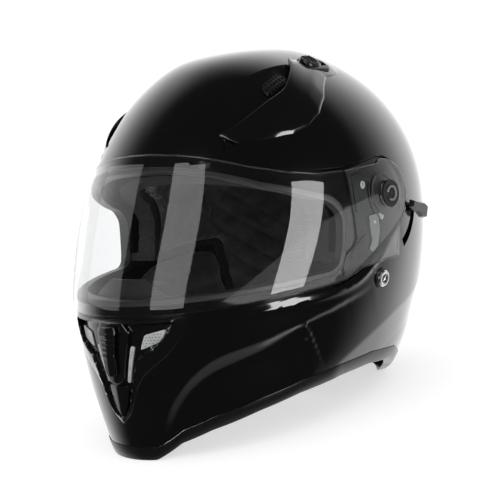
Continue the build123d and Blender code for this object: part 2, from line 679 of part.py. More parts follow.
# The lever outside, the rail inside that guides it, and the cable that turns the sun visor.
RAIL_FLOOR, RAIL_WALL = 103.8, 2.2  # the floor that the lever's foot slides on
FOOT_WIDTH = 9.4
CABLE_RADIUS = 1.3
CABLE_X = 109.0  # the cable runs in a plane this far out
KNOB_X = 117.4  # where the shell's outside is under the lever
LEVER_LEAN = 11  # degrees that the shell falls away from the pivot under the lever
knob_y, knob_z = about_pivot(LEVER_RADIUS, LEVER_REST)
way_y, way_z = cos(radians(LEVER_REST)), sin(radians(LEVER_REST))
lean_in, lean_out = sin(radians(LEVER_LEAN)), cos(radians(LEVER_LEAN))
KNOB_PLANE = Plane(origin=(KNOB_X, knob_y, knob_z), x_dir=(-lean_in, lean_out * way_y, lean_out * way_z),
                   z_dir=(lean_out, lean_in * way_y, lean_in * way_z))
with BuildPart() as lever:
    with BuildSketch(KNOB_PLANE) as knob:
        with BuildLine():
            Polyline((-15, -3), (-15, 3), (-2, 4), (6, 6), (14, 5), (14, -5), (6, -6), (-2, -4), close=True)
        make_face()
        fillet(knob.vertices(), 1.5)
    extrude(amount=3.8, taper=16)
    with BuildSketch(Plane.YZ.offset(RAIL_FLOOR + 2)):
        with Locations(Location((knob_y, knob_z, 0), (0, 0, LEVER_REST))):
            Rectangle(5.4, 4.6)
    extrude(amount=KNOB_X + 1 - RAIL_FLOOR - 2)
    with BuildSketch(Plane.YZ.offset(RAIL_FLOOR + 0.4)):
        with Locations(Location((knob_y, knob_z, 0), (0, 0, LEVER_REST))):
            Rectangle(FOOT_WIDTH, 8)
    extrude(amount=2.4)
save(lever.part, "sun_visor_lever")

CABLE = ((31, 112), (14, 116), (-6, 132), (-9, 150))


def sheath(radius):
    """A round length along the sun visor cable's route."""
    with BuildPart() as length:
        with BuildLine(Plane.YZ.offset(CABLE_X)) as way:
            FilletPolyline(*CABLE, radius=8)
        with BuildSketch(Plane(origin=way.line @ 0, z_dir=way.line % 0)):
            Circle(radius)
        sweep()
    return length.part


RAIL_OUTLINE = arc_slot(LEVER_RADIUS, FOOT_WIDTH + 6.4, LEVER_REST + 15, LEVER_DOWN - 13)
with BuildPart() as rail:
    with BuildSketch(Plane.YZ.offset(RAIL_FLOOR - RAIL_WALL)):
        with BuildLine():
            Polyline(*RAIL_OUTLINE, close=True)
        make_face()
    extrude(amount=16)
    with BuildSketch(Plane.YZ.offset(RAIL_FLOOR)):
        with BuildLine():
            Polyline(*arc_slot(LEVER_RADIUS, FOOT_WIDTH + 1.4, LEVER_REST + 9, LEVER_DOWN - 9), close=True)
        make_face()
    extrude(amount=16, mode=Mode.SUBTRACT)
    add(inner(SHELL_WALL + 0.1), mode=Mode.INTERSECT)
    add(sheath(CABLE_RADIUS + 0.15), mode=Mode.SUBTRACT)
save(rail.part, "sun_visor_lever_rail")
save(sheath(CABLE_RADIUS), "sun_visor_cable")

# ---- foam and lining ----------------------------------------------------------------------
SUN_ROOM = sun_band(40, -SUN_WALL - 2, SUN_EDGE + 2, -25, SUN_HIGH + 4)
SIDE_ROOM = disc(PIVOT_Y, PIVOT_Z, 62, HINGE_X - 3, CLEAR)
FACE_ROOM = inset_eyeport(-2)
ROLL_OUTSIDE, ROLL_INSIDE = 14.0, 44.0  # depths of the neck roll
ROLL_SIDE = ((36, 41), (36, 58), (200, 58), (200, 14), (88, 15), (70, 25))
ROLL_ROOM = common(inner(ROLL_OUTSIDE - 0.4), side(((30, -20), (30, 58.6), (230, 58.6), (230, -20))))
with BuildPart() as eps:
    add(layer(EPS_OUTSIDE, EPS_INSIDE))
    add(ROLL_ROOM, mode=Mode.SUBTRACT)
    add(below_rim(TRIM_HEIGHT + 4), mode=Mode.SUBTRACT)
    add(FACE_ROOM, mode=Mode.SUBTRACT)
    add(side(((-230, -20), (30, -20), (30, 118), (-230, 118))), mode=Mode.SUBTRACT)
    add(SUN_ROOM, mode=Mode.SUBTRACT)
    add(both_sides(SIDE_ROOM), mode=Mode.SUBTRACT)
    for x in (-30, 0, 30):
        with BuildSketch(Plane.XY.offset(150)):
            with Locations((x, 20)):
                SlotOverall(70, 9, rotation=90)
        extrude(amount=150, mode=Mode.SUBTRACT)
save(eps.part, "impact_liner")

with BuildPart() as chin_eps:
    add(layer(EPS_OUTSIDE + 1.2, 22))
    add(side(((-82, 44), (-82, 98), (-200, 98), (-200, 14), (-152, 24), (-136, 31), (-107, 38))),
        mode=Mode.INTERSECT)
    with BuildSketch(Plane.XZ.offset(100)):
        with Locations((0, 83)):
            Rectangle(76, 14)
    extrude(amount=80, mode=Mode.SUBTRACT)
save(chin_eps.part, "chin_impact_liner")

CHEEK = ((29, 46), (29, 114), (-30, 114), (-38, 104), (-64, 101), (-77, 82), (-71, 45), (-38, 46))
with BuildPart() as cheek:
    add(layer(EPS_OUTSIDE + 3, 42))
    add(side(CHEEK, 20, CLEAR, radius=5), mode=Mode.INTERSECT)
    add(SLIT, mode=Mode.SUBTRACT)
    add(RIVET_ROOM, mode=Mode.SUBTRACT)
    add(side(((-40, 107), (-40, 130), (80, 130), (80, 107)), HINGE_X - 4, CLEAR), mode=Mode.SUBTRACT)
save(cheek.part, "cheek_pad_left")
save(mirrored(cheek.part), "cheek_pad_right")

with BuildPart() as crown:
    add(layer(EPS_INSIDE + 0.6, LINER_INSIDE))
    add(side(((-230, 121), (33, 121), (33, 62), (230, 62), (230, 300), (-230, 300))),
        mode=Mode.INTERSECT)
    add(inset_eyeport(-5), mode=Mode.SUBTRACT)
save(crown.part, "comfort_liner")

with BuildPart() as roll:
    add(layer(ROLL_OUTSIDE, ROLL_INSIDE))
    add(side(ROLL_SIDE), mode=Mode.INTERSECT)
save(roll.part, "neck_roll")

with BuildPart() as guard:
    add(layer(12.5, 14.5))
    add(prism(((-44, 98.4), (44, 98.4), (38, 113), (18, 125), (-18, 125), (-38, 113)), Plane.XZ,
              60, 200, radius=3), mode=Mode.INTERSECT)
save(guard.part, "breath_guard")

SNAP_SPOTS = ((20, 99), (21, 62), (-48, 80))  # behind the cheek pads, as (y, z)
SNAP_RADIUS, SNAP_DEPTH = 5.0, 7.6
with BuildPart() as snaps:
    for y, z in SNAP_SPOTS:
        place = on_form((0, y, z), (1, 0, 0))
        with BuildSketch(place.offset(-SNAP_DEPTH)):
            Circle(SNAP_RADIUS)
        extrude(amount=2.6)
save(both_sides(snaps.part), "liner_snaps")
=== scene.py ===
"""The looks of a full-face motorcycle helmet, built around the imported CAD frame.

Everything is in metres in the frame's axes: +Z up, the wearer looks along -Y, +X is the
wearer's left. Outlines are given in millimetres from the head form's own middle, and the
functions below turn them into places in the frame.
"""

import math

import bmesh
import bpy
import numpy as np
from mathutils import Matrix, Vector
from mathutils.geometry import delaunay_2d_cdt


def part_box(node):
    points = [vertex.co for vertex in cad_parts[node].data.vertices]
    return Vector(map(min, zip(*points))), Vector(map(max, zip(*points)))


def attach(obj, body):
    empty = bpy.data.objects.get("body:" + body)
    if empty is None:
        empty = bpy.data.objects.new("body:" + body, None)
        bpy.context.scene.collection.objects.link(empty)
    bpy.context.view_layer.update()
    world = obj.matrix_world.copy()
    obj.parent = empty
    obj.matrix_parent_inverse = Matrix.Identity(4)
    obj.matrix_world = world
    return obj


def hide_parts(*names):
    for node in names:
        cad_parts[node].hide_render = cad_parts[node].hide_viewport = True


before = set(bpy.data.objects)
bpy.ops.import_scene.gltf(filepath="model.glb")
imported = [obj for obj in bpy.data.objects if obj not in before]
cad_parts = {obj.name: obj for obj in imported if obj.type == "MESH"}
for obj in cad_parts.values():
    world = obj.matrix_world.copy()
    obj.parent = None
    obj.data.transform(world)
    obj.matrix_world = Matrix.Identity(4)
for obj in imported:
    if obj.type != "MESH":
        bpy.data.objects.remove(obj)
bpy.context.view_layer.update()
MM = 0.001

# ---- the outer form ------------------------------------------------------------------------
# Level rings of the form: height, reach to the front, reach to the back, half width, lean of
# the wall in degrees. The same rings are the CAD model's.
RINGS = np.array((
    (-6, 164, 104, 72, 0),
    (0, 165, 108, 76, 0),
    (26, 167, 122, 94, 0),
    (58, 168, 134, 106, 0),
    (95, 166, 144, 115, 0),
    (132, 154, 150, 120, 0),
    (169, 137, 149, 119, 9),
    (206, 118, 137, 108, 25),
    (238, 94, 112, 87, 40),
    (259, 70, 83, 63, 55),
    (272, 45, 55, 38, 69),
    (275.9, 21, 28, 19, 80),
    (277, -4, 4, 0, 90),
), float)
FRONT_POWER, BACK_POWER = 2.15, 2.1
hub_low, hub_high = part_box("shield_hub_left")
PIVOT = (hub_low + hub_high) / 2 / MM  # on the axis of the face shield, in millimetres
PIVOT_Y = 11.0
PIVOT_Z = PIVOT.z
FORM_Y = PIVOT.y - PIVOT_Y  # how far the form's middle lies behind the frame's origin
EAR = 25.0  # radius of the face shield's round end


def spline_through(x, y, end_slopes):
    """Second derivatives of the clamped cubic through points, for use by spline_at."""
    n, h = len(x), np.diff(x)
    a, b = np.zeros((n, n)), np.zeros(n)
    for i in range(1, n - 1):
        a[i, i - 1], a[i, i], a[i, i + 1] = h[i - 1], 2 * (h[i - 1] + h[i]), h[i]
        b[i] = 6 * ((y[i + 1] - y[i]) / h[i] - (y[i] - y[i - 1]) / h[i - 1])
    a[0, 0], a[0, 1] = 2 * h[0], h[0]
    b[0] = 6 * ((y[1] - y[0]) / h[0] - end_slopes[0])
    a[-1, -1], a[-1, -2] = 2 * h[-1], h[-1]
    b[-1] = 6 * (end_slopes[1] - (y[-1] - y[-2]) / h[-1])
    return np.linalg.solve(a, b)


def spline_at(x, y, m, t):
    """The cubic's value at t."""
    i = np.clip(np.searchsorted(x, t, side="right") - 1, 0, len(x) - 2)
    h = x[i + 1] - x[i]
    p, q = (x[i + 1] - t) / h, (t - x[i]) / h
    return p * y[i] + q * y[i + 1] + ((p ** 3 - p) * m[i] + (q ** 3 - q) * m[i + 1]) * h * h / 6


# The rings' own measure: distance along the wall, half way between the front and the side.
mean_reach = (RINGS[:, 1] + RINGS[:, 2] + 2 * RINGS[:, 3]) / 4
WAY = np.concatenate(([0], np.cumsum(np.hypot(np.diff(RINGS[:, 0]), np.diff(mean_reach)))))
STEPS = 1400
DENSE_T = np.linspace(0, WAY[-1], STEPS)
columns = []
for column in range(5):
    values = RINGS[:, column]
    first = (values[1] - values[0]) / WAY[1]
    last = 0.0 if column == 0 else (values[-1] - values[-2]) / (WAY[-1] - WAY[-2])
    curve = spline_through(WAY, values, (first, last))
    columns.append(spline_at(WAY, values, curve, DENSE_T))
DENSE = np.stack(columns, 1)
DENSE[:, 4] = np.clip(DENSE[:, 4], 0, 90)


def grown_rings(growth):
    """The dense rings of the form grown by a distance: height, front, back, half width."""
    lean = np.radians(DENSE[:, 4])
    out = growth * np.cos(lean)
    return np.stack((DENSE[:, 0] + growth * np.sin(lean), DENSE[:, 1] + out, DENSE[:, 2] + out,
                     DENSE[:, 3] + out), 1)


def ring_point(t, angle, growth=0.0):
    """A point on the form. angle runs from 0 at the face to pi at the back, towards +X."""
    t, angle, growth = np.broadcast_arrays(np.asarray(t, float), angle, growth)
    height, front, back, half, lean = (np.interp(t, DENSE_T, DENSE[:, i]) for i in range(5))
    lean = np.radians(lean)
    out, rise = growth * np.cos(lean), growth * np.sin(lean)
    across, along = np.sin(angle), -np.cos(angle)
    facing = along < 0
    reach = np.where(facing, front, back) + out
    power = np.where(facing, FRONT_POWER, BACK_POWER)
    width = np.maximum(half + out, 1e-6)
    reach = np.where(np.abs(reach) < 1e-6, 1e-6, reach)
    size = (np.abs(across / width) ** power + np.abs(along / np.abs(reach)) ** power) ** (-1 / power)
    return np.stack((across * size, along * size, height + rise), -1)


def ring_at_height(z, growth=0.0):
    """The measure t of the ring at a height."""
    rings = grown_rings(growth)
    return np.interp(z, rings[:, 0], DENSE_T)


def on_side(y, z, growth=0.0):
    """Points of the form, on the +X side, from their (y, z). growth may differ by point."""
    y, z, growth = np.broadcast_arrays(np.asarray(y, float), np.asarray(z, float), np.asarray(growth, float))
    lean = np.radians(np.interp(z, DENSE[:, 0], DENSE[:, 4]))
    base_z = z - growth * np.sin(lean)
    lean = np.radians(np.interp(base_z, DENSE[:, 0], DENSE[:, 4]))
    base_z = z - growth * np.sin(lean)
    front, back, half = (np.interp(base_z, DENSE[:, 0], DENSE[:, i]) for i in (1, 2, 3))
    out = growth * np.cos(lean)
    facing = y < 0
    reach = np.where(facing, front, back) + out
    power = np.where(facing, FRONT_POWER, BACK_POWER)
    left = np.clip(1 - np.abs(y / reach) ** power, 0, 1)
    return np.stack(((half + out) * left ** (1 / power), y, z), -1)


def on_front(x, z, growth=0.0):
    """Points of the form's face from their (x, z)."""
    x, z, growth = np.broadcast_arrays(np.asarray(x, float), np.asarray(z, float), np.asarray(growth, float))
    lean = np.radians(np.interp(z, DENSE[:, 0], DENSE[:, 4]))
    base_z = z - growth * np.sin(lean)
    front, half = (np.interp(base_z, DENSE[:, 0], DENSE[:, i]) for i in (1, 3))
    out = growth * np.cos(lean)
    left = np.clip(1 - np.abs(x / (half + out)) ** FRONT_POWER, 0, 1)
    return np.stack((x, -(front + out) * left ** (1 / FRONT_POWER), z), -1)


def on_back(x, z, growth=0.0):
    """Points of the form's back from their (x, z)."""
    x, z, growth = np.broadcast_arrays(np.asarray(x, float), np.asarray(z, float), np.asarray(growth, float))
    lean = np.radians(np.interp(z, DENSE[:, 0], DENSE[:, 4]))
    base_z = z - growth * np.sin(lean)
    back, half = (np.interp(base_z, DENSE[:, 0], DENSE[:, i]) for i in (2, 3))
    out = growth * np.cos(lean)
    left = np.clip(1 - np.abs(x / (half + out)) ** BACK_POWER, 0, 1)
    return np.stack((x, (back + out) * left ** (1 / BACK_POWER), z), -1)


def on_top(x, y, growth=0.0):
    """Points of the form's dome from their (x, y)."""
    x, y, growth = np.broadcast_arrays(np.asarray(x, float), np.asarray(y, float), np.asarray(growth, float))
    flat = np.stack((x.ravel(), y.ravel(), growth.ravel()), 1)
    heights = []
    for px, py, pg in flat:
        rings = grown_rings(pg)
        power = FRONT_POWER if py < 0 else BACK_POWER
        reach = rings[:, 1] if py < 0 else rings[:, 2]
        upper = rings[:, 0] > 150
        spread = (np.abs(px / np.maximum(rings[:, 3], 1e-6)) ** power
                  + np.abs(py / np.maximum(reach, 1e-6)) ** power)
        heights.append(np.interp(1.0, spread[upper], rings[upper, 0]))
    return np.stack((x, y, np.reshape(heights, x.shape)), -1)


def to_frame(points):
    """Millimetres from the form's middle to metres in the frame."""
    return (np.asarray(points, float) + (0, FORM_Y, 0)) * MM


# ---- small geometry helpers ----------------------------------------------------------------
def smooth_step(x):
    """0 below 0, 1 above 1, and smooth between."""
    x = np.clip(x, 0, 1)
    return x * x * (3 - 2 * x)


def resample(points, spacing, closed=True, rounding=0):
    """A polyline's points at even spacing, its corners rounded by a few passes of averaging."""
    pts = np.asarray(points, float)
    loop = np.vstack((pts, pts[:1])) if closed else pts
    lengths = np.linalg.norm(np.diff(loop, axis=0), axis=1)
    way = np.concatenate(([0], np.cumsum(lengths)))
    count = max(8, int(round(way[-1] / spacing)))
    at = np.linspace(0, way[-1], count + (0 if closed else 1), endpoint=not closed)
    out = np.stack([np.interp(at, way, loop[:, i]) for i in range(pts.shape[1])], 1)
    for _ in range(rounding):
        if closed:
            out = 0.5 * out + 0.25 * (np.roll(out, 1, 0) + np.roll(out, -1, 0))
        else:
            out[1:-1] = 0.5 * out[1:-1] + 0.25 * (out[:-2] + out[2:])
    return out


def curve_through(points, spacing=1.0):
    """An open smooth curve (Catmull-Rom) through points, at even spacing."""
    p = np.asarray(points, float)
    p = np.vstack((2 * p[0] - p[1], p, 2 * p[-1] - p[-2]))
    out = []
    for a, b, c, d in zip(p[:-3], p[1:-2], p[2:-1], p[3:]):
        for s in np.linspace(0, 1, 12, endpoint=False):
            out.append(0.5 * (2 * b + (c - a) * s + (2 * a - 5 * b + 4 * c - d) * s * s
                              + (3 * b - a - 3 * c + d) * s ** 3))
    out.append(p[-2])
    return resample(np.array(out), spacing, closed=False)


def inside(points, polygon):
    """Which 2-D points lie inside a polygon."""
    x, y = points[:, 0][:, None], points[:, 1][:, None]
    x1, y1 = polygon[:, 0], polygon[:, 1]
    x2, y2 = np.roll(x1, -1), np.roll(y1, -1)
    crosses = (y1 > y) != (y2 > y)
    rise = np.where(y2 == y1, 1e-12, y2 - y1)
    return (np.sum(crosses & (x < (x2 - x1) * (y - y1) / rise + x1), 1) % 2) == 1


def line_distance(points, line):
    """Signed distance from 2-D points to an open polyline (positive on its left), and how far
    along it the nearest place is, from 0 to 1."""
    best = np.full(len(points), 1e9)
    sign = np.ones(len(points))
    along = np.zeros(len(points))
    steps = np.linalg.norm(np.diff(line, axis=0), axis=1)
    way = np.concatenate(([0], np.cumsum(steps))) / steps.sum()
    for i in range(len(line) - 1):
        a, b = line[i], line[i + 1]
        d = b - a
        s = np.clip(((points - a) @ d) / (d @ d), 0, 1)
        off = points - a - s[:, None] * d
        far = np.hypot(off[:, 0], off[:, 1])
        nearer = far < best
        cross = d[0] * (points[:, 1] - a[1]) - d[1] * (points[:, 0] - a[0])
        best[nearer], sign[nearer] = far[nearer], np.sign(cross[nearer])
        along[nearer] = way[i] + s[nearer] * (way[i + 1] - way[i])
    return best * sign, along


def polygon_distance(points, polygon):
    """Distance from 2-D points to a closed polygon, positive inside."""
    loop = np.vstack((polygon, polygon[:1]))
    far = np.abs(line_distance(points, loop)[0])
    return np.where(inside(points, polygon), far, -far)


def offset_loop(loop, inwards):
    """A closed 2-D loop moved inwards by a distance."""
    area = 0.5 * np.sum(loop[:, 0] * np.roll(loop[:, 1], -1) - np.roll(loop[:, 0], -1) * loop[:, 1])
    tangent = np.roll(loop, -1, 0) - np.roll(loop, 1, 0)
    tangent /= np.maximum(np.linalg.norm(tangent, axis=1, keepdims=True), 1e-9)
    normal = np.stack((-tangent[:, 1], tangent[:, 0]), 1) * np.sign(area)
    return loop + normal * inwards


def mesh_object(name, points, faces, smooth_angle=35.0):
    """A mesh from points in the frame, with faces turned outwards."""
    mesh = bpy.data.meshes.new(name)
    mesh.from_pydata([tuple(p) for p in points], [], [tuple(int(i) for i in f) for f in faces])
    mesh.validate()
    work = bmesh.new()
    work.from_mesh(mesh)
    bmesh.ops.remove_doubles(work, verts=work.verts, dist=1e-7)
    bmesh.ops.recalc_face_normals(work, faces=work.faces)
    work.to_mesh(mesh)
    work.free()
    mesh.shade_smooth()
    mesh.set_sharp_from_angle(angle=math.radians(smooth_angle))
    piece = bpy.data.objects.new(name, mesh)
    bpy.context.scene.collection.objects.link(piece)
    return piece


def mirror_points(points):
    """The other side's copy of points."""
    return np.asarray(points, float) * (-1, 1, 1)


def slab(name, outline, project, profile, spacing=3.0, holes=(), mirrored=False, relief=None,
         smooth_angle=35.0):
    """A closed panel that follows the form. outline and holes are closed loops in a flat view,
    project turns flat points and a distance off the form into places, and profile lists
    (distance inside the outline, distance off the form) from the outer face down to the inner
    one. relief(flat points) is added to the outer face's distance."""
    sources = [(np.asarray(outline, float), 1)] + [(np.asarray(h, float), -1) for h in holes]
    rings = [[offset_loop(loop, side * inset) for inset, _ in profile] for loop, side in sources]
    first = [r[0] for r in rings]
    edges, points2 = [], []
    for ring in first:
        start, count = len(points2), len(ring)
        points2 += list(ring)
        edges += [(start + i, start + (i + 1) % count) for i in range(count)]
    low_corner, high_corner = first[0].min(0), first[0].max(0)
    grid = np.stack(np.meshgrid(np.arange(low_corner[0], high_corner[0], spacing),
                                np.arange(low_corner[1], high_corner[1], spacing * 0.87)), -1)
    grid[1::2, :, 0] += spacing / 2
    grid = grid.reshape(-1, 2)
    room = polygon_distance(grid, first[0]) > 0.55 * spacing
    for ring in first[1:]:
        room &= polygon_distance(grid, ring) < -0.55 * spacing
    given = np.vstack((np.array(points2), grid[room]))
    made = delaunay_2d_cdt([Vector(p) for p in given], edges, [], 0, 1e-7)
    flat, triangles, origins = np.array(made[0]), made[2], made[3]
    place_of = {}
    for out_index, sources_of in enumerate(origins):
        for source in sources_of:
            place_of[source] = out_index
    centres = np.array([flat[list(t)].mean(0) for t in triangles])
    keep = inside(centres, first[0])
    for ring in first[1:]:
        keep &= ~inside(centres, ring)
    triangles = [t for t, k in zip(triangles, keep) if k]
    last = flat.copy()
    start = 0
    for ring in rings:
        for i in range(len(ring[0])):
            last[place_of[start + i]] = ring[-1][i]
        start += len(ring[0])

    def lifted(places, height):
        lift = np.full(len(places), float(height))
        if relief is not None:
            lift = lift + relief(places)
        return project(places[:, 0], places[:, 1], lift)

    count = len(flat)
    places = [lifted(flat, profile[0][1]),
              project(last[:, 0], last[:, 1], np.full(count, float(profile[-1][1])))]
    faces = [tuple(t) for t in triangles] + [tuple(count + i for i in reversed(t)) for t in triangles]
    size = 2 * count
    start = 0
    for ring in rings:
        number = len(ring[0])
        above = [place_of[start + i] for i in range(number)]
        for (inset, height), loop in list(zip(profile, ring))[1:-1]:
            places.append(lifted(loop, height))
            here = list(range(size, size + number))
            size += number
            faces += [(above[i], here[i], here[(i + 1) % number], above[(i + 1) % number])
                      for i in range(number)]
            above = here
        under = [count + place_of[start + i] for i in range(number)]
        faces += [(above[i], under[i], under[(i + 1) % number], above[(i + 1) % number])
                  for i in range(number)]
        start += number
    whole = np.vstack(places)
    if mirrored:
        whole = mirror_points(whole)
    return mesh_object(name, to_frame(whole), faces, smooth_angle)


def rounded(low, high, edge):
    """A slab's profile with a rounded outer edge."""
    return ((edge, high), (edge * 0.62, high - edge * 0.08), (edge * 0.29, high - edge * 0.29),
            (edge * 0.08, high - edge * 0.62), (0, high - edge), (0, low))


def cutter(low, flare=0.7):
    """The profile of a recess to cut: its mouth is chamfered."""
    return ((-flare * 3, flare * 2.4), (-flare, flare * 0.35), (0, -flare * 0.7), (0.25, low))


def carve(piece, *tools):
    """Cuts tools out of a piece and removes them."""
    for tool in tools:
        cut = piece.modifiers.new("cut", "BOOLEAN")
        cut.operation = "DIFFERENCE"
        cut.solver = "EXACT"
        cut.object = tool
    graph = bpy.context.evaluated_depsgraph_get()
    mesh = bpy.data.meshes.new_from_object(piece.evaluated_get(graph))
    piece.modifiers.clear()
    old, piece.data = piece.data, mesh
    bpy.data.meshes.remove(old)
    for tool in tools:
        bpy.data.objects.remove(tool)
    piece.data.shade_smooth()
    piece.data.set_sharp_from_angle(angle=math.radians(35))
    return piece


def bar(name, start, end, radius, sides=48):
    """A round bar between two places in millimetres, for cutting."""
    a, b = Vector(to_frame(start)), Vector(to_frame(end))
    work = bmesh.new()
    bmesh.ops.create_cone(work, cap_ends=True, segments=sides, radius1=radius * MM, radius2=radius * MM,
                          depth=(b - a).length)
    turn = (b - a).to_track_quat("Z", "Y").to_matrix().to_4x4()
    bmesh.ops.transform(work, matrix=Matrix.Translation((a + b) / 2) @ turn, verts=work.verts)
    mesh = bpy.data.meshes.new(name)
    work.to_mesh(mesh)
    work.free()
    tool = bpy.data.objects.new(name, mesh)
    bpy.context.scene.collection.objects.link(tool)
    return tool


# ---- materials -----------------------------------------------------------------------------
def material(name):
    """A new node material and its Principled shader."""
    made = bpy.data.materials.new(name)
    made.use_nodes = True
    return made, made.node_tree, made.node_tree.nodes["Principled BSDF"]


def object_coordinates(tree, scale=1.0):
    """Object coordinates, scaled."""
    place = tree.nodes.new("ShaderNodeTexCoord")
    mapping = tree.nodes.new("ShaderNodeMapping")
    mapping.inputs["Scale"].default_value = (scale, scale, scale)
    tree.links.new(place.outputs["Object"], mapping.inputs["Vector"])
    return mapping.outputs["Vector"]


def noise(tree, vector, scale, detail=3.0, roughness=0.5):
    """A noise texture's factor."""
    node = tree.nodes.new("ShaderNodeTexNoise")
    node.inputs["Scale"].default_value = scale
    node.inputs["Detail"].default_value = detail
    node.inputs["Roughness"].default_value = roughness
    tree.links.new(vector, node.inputs["Vector"])
    return node.outputs["Fac"]


def ramp(tree, factor, low, high, start=0.3, end=0.7):
    """A colour between two, by a factor."""
    node = tree.nodes.new("ShaderNodeValToRGB")
    node.color_ramp.elements[0].position = start
    node.color_ramp.elements[0].color = (*low, 1)
    node.color_ramp.elements[1].position = end
    node.color_ramp.elements[1].color = (*high, 1)
    tree.links.new(factor, node.inputs["Fac"])
    return node.outputs["Color"]


def level(tree, factor, low, high):
    """A number between two, by a factor."""
    node = tree.nodes.new("ShaderNodeMapRange")
    node.inputs["To Min"].default_value = low
    node.inputs["To Max"].default_value = high
    tree.links.new(factor, node.inputs["Value"])
    return node.outputs["Result"]


def bump(tree, shader, height, strength, distance):
    """Puts a bump on a shader."""
    node = tree.nodes.new("ShaderNodeBump")
    node.inputs["Strength"].default_value = strength
    node.inputs["Distance"].default_value = distance
    tree.links.new(height, node.inputs["Height"])
    tree.links.new(node.outputs["Normal"], shader.inputs["Normal"])


def lacquer(name, colour, roughness, peel=0.05):
    """Gloss lacquer: a dark base, a faint metallic depth, orange peel and a clear coat."""
    made, tree, shader = material(name)
    place = object_coordinates(tree)
    fine = noise(tree, place, 900, 2)
    tree.links.new(ramp(tree, fine, [c * 0.8 for c in colour], [c * 1.3 for c in colour]),
                   shader.inputs["Base Color"])
    wear = noise(tree, place, 14, 4)
    tree.links.new(level(tree, wear, roughness * 0.8, roughness * 1.25), shader.inputs["Roughness"])
    shader.inputs["Specular IOR Level"].default_value = 0.5
    shader.inputs["Coat Weight"].default_value = 0.6
    shader.inputs["Coat Roughness"].default_value = 0.03
    bump(tree, shader, noise(tree, place, 210, 1), peel, 0.0002)
    return made


def moulded(name, colour, roughness, grain=0.25, scale=1600):
    """Moulded plastic with a fine grain and slightly uneven sheen."""
    made, tree, shader = material(name)
    place = object_coordinates(tree)
    tree.links.new(ramp(tree, noise(tree, place, 55, 5), [c * 0.82 for c in colour],
                        [c * 1.2 for c in colour]), shader.inputs["Base Color"])
    tree.links.new(level(tree, noise(tree, place, 180, 3), roughness * 0.85, roughness * 1.15),
                   shader.inputs["Roughness"])
    bump(tree, shader, noise(tree, place, scale, 2), grain, 0.0002)
    return made


def metal(name, colour, roughness, scratches=0.12):
    """Metal with fine scratches."""
    made, tree, shader = material(name)
    place = object_coordinates(tree)
    shader.inputs["Metallic"].default_value = 1.0
    tree.links.new(ramp(tree, noise(tree, place, 130, 4), [c * 0.88 for c in colour], colour),
                   shader.inputs["Base Color"])
    tree.links.new(level(tree, noise(tree, place, 700, 2), roughness * 0.7, roughness * 1.4),
                   shader.inputs["Roughness"])
    bump(tree, shader, noise(tree, place, 1500, 2), scratches, 0.0001)
    return made


def clear(name, colour, roughness, index):
    """Clear moulded sheet that lets lamps through."""
    made, tree, shader = material(name)
    place = object_coordinates(tree)
    tree.links.new(ramp(tree, noise(tree, place, 8, 2), [c * 0.985 for c in colour], colour),
                   shader.inputs["Base Color"])
    shader.inputs["Transmission Weight"].default_value = 1.0
    shader.inputs["Roughness"].default_value = roughness
    shader.inputs["IOR"].default_value = index
    through = tree.nodes.new("ShaderNodeBsdfTransparent")
    through.inputs["Color"].default_value = (*[c * 0.92 for c in colour], 1)
    rays = tree.nodes.new("ShaderNodeLightPath")
    mix = tree.nodes.new("ShaderNodeMixShader")
    tree.links.new(rays.outputs["Is Shadow Ray"], mix.inputs["Fac"])
    tree.links.new(shader.outputs[0], mix.inputs[1])
    tree.links.new(through.outputs[0], mix.inputs[2])
    tree.links.new(mix.outputs[0], tree.nodes["Material Output"].inputs["Surface"])
    return made


def knit(name, colour, scale=900, sheen=0.3):
    """Brushed knit fabric: fine loops, soft sheen and a little unevenness."""
    made, tree, shader = material(name)
    place = object_coordinates(tree)
    loops = tree.nodes.new("ShaderNodeTexVoronoi")
    loops.inputs["Scale"].default_value = scale
    tree.links.new(place, loops.inputs["Vector"])
    tree.links.new(ramp(tree, noise(tree, place, 60, 5), [c * 0.7 for c in colour],
                        [c * 1.35 for c in colour]), shader.inputs["Base Color"])
    shader.inputs["Roughness"].default_value = 0.92
    shader.inputs["Sheen Weight"].default_value = sheen
    shader.inputs["Sheen Roughness"].default_value = 0.45
    bump(tree, shader, loops.outputs["Distance"], 0.55, 0.0006)
    return made


def webbing(name, colour):
    """Woven strap: ribs along the weave."""
    made, tree, shader = material(name)
    place = object_coordinates(tree)
    ribs = tree.nodes.new("ShaderNodeTexWave")
    ribs.bands_direction = "Y"
    ribs.inputs["Scale"].default_value = 220
    ribs.inputs["Distortion"].default_value = 0.4
    tree.links.new(place, ribs.inputs["Vector"])
    tree.links.new(ramp(tree, ribs.outputs["Fac"], [c * 0.6 for c in colour], [c * 1.5 for c in colour],
                        0.2, 0.8), shader.inputs["Base Color"])
    shader.inputs["Roughness"].default_value = 0.75
    shader.inputs["Sheen Weight"].default_value = 0.2
    bump(tree, shader, ribs.outputs["Fac"], 0.5, 0.0004)
    return made


def beads(name, colour):
    """Expanded foam: packed beads."""
    made, tree, shader = material(name)
    place = object_coordinates(tree)
    cells = tree.nodes.new("ShaderNodeTexVoronoi")
    cells.inputs["Scale"].default_value = 330
    tree.links.new(place, cells.inputs["Vector"])
    tree.links.new(ramp(tree, cells.outputs["Distance"], [c * 1.3 for c in colour],
                        [c * 0.5 for c in colour], 0.1, 0.9), shader.inputs["Base Color"])
    shader.inputs["Roughness"].default_value = 0.8
    bump(tree, shader, cells.outputs["Distance"], 0.4, 0.0006)
    return made


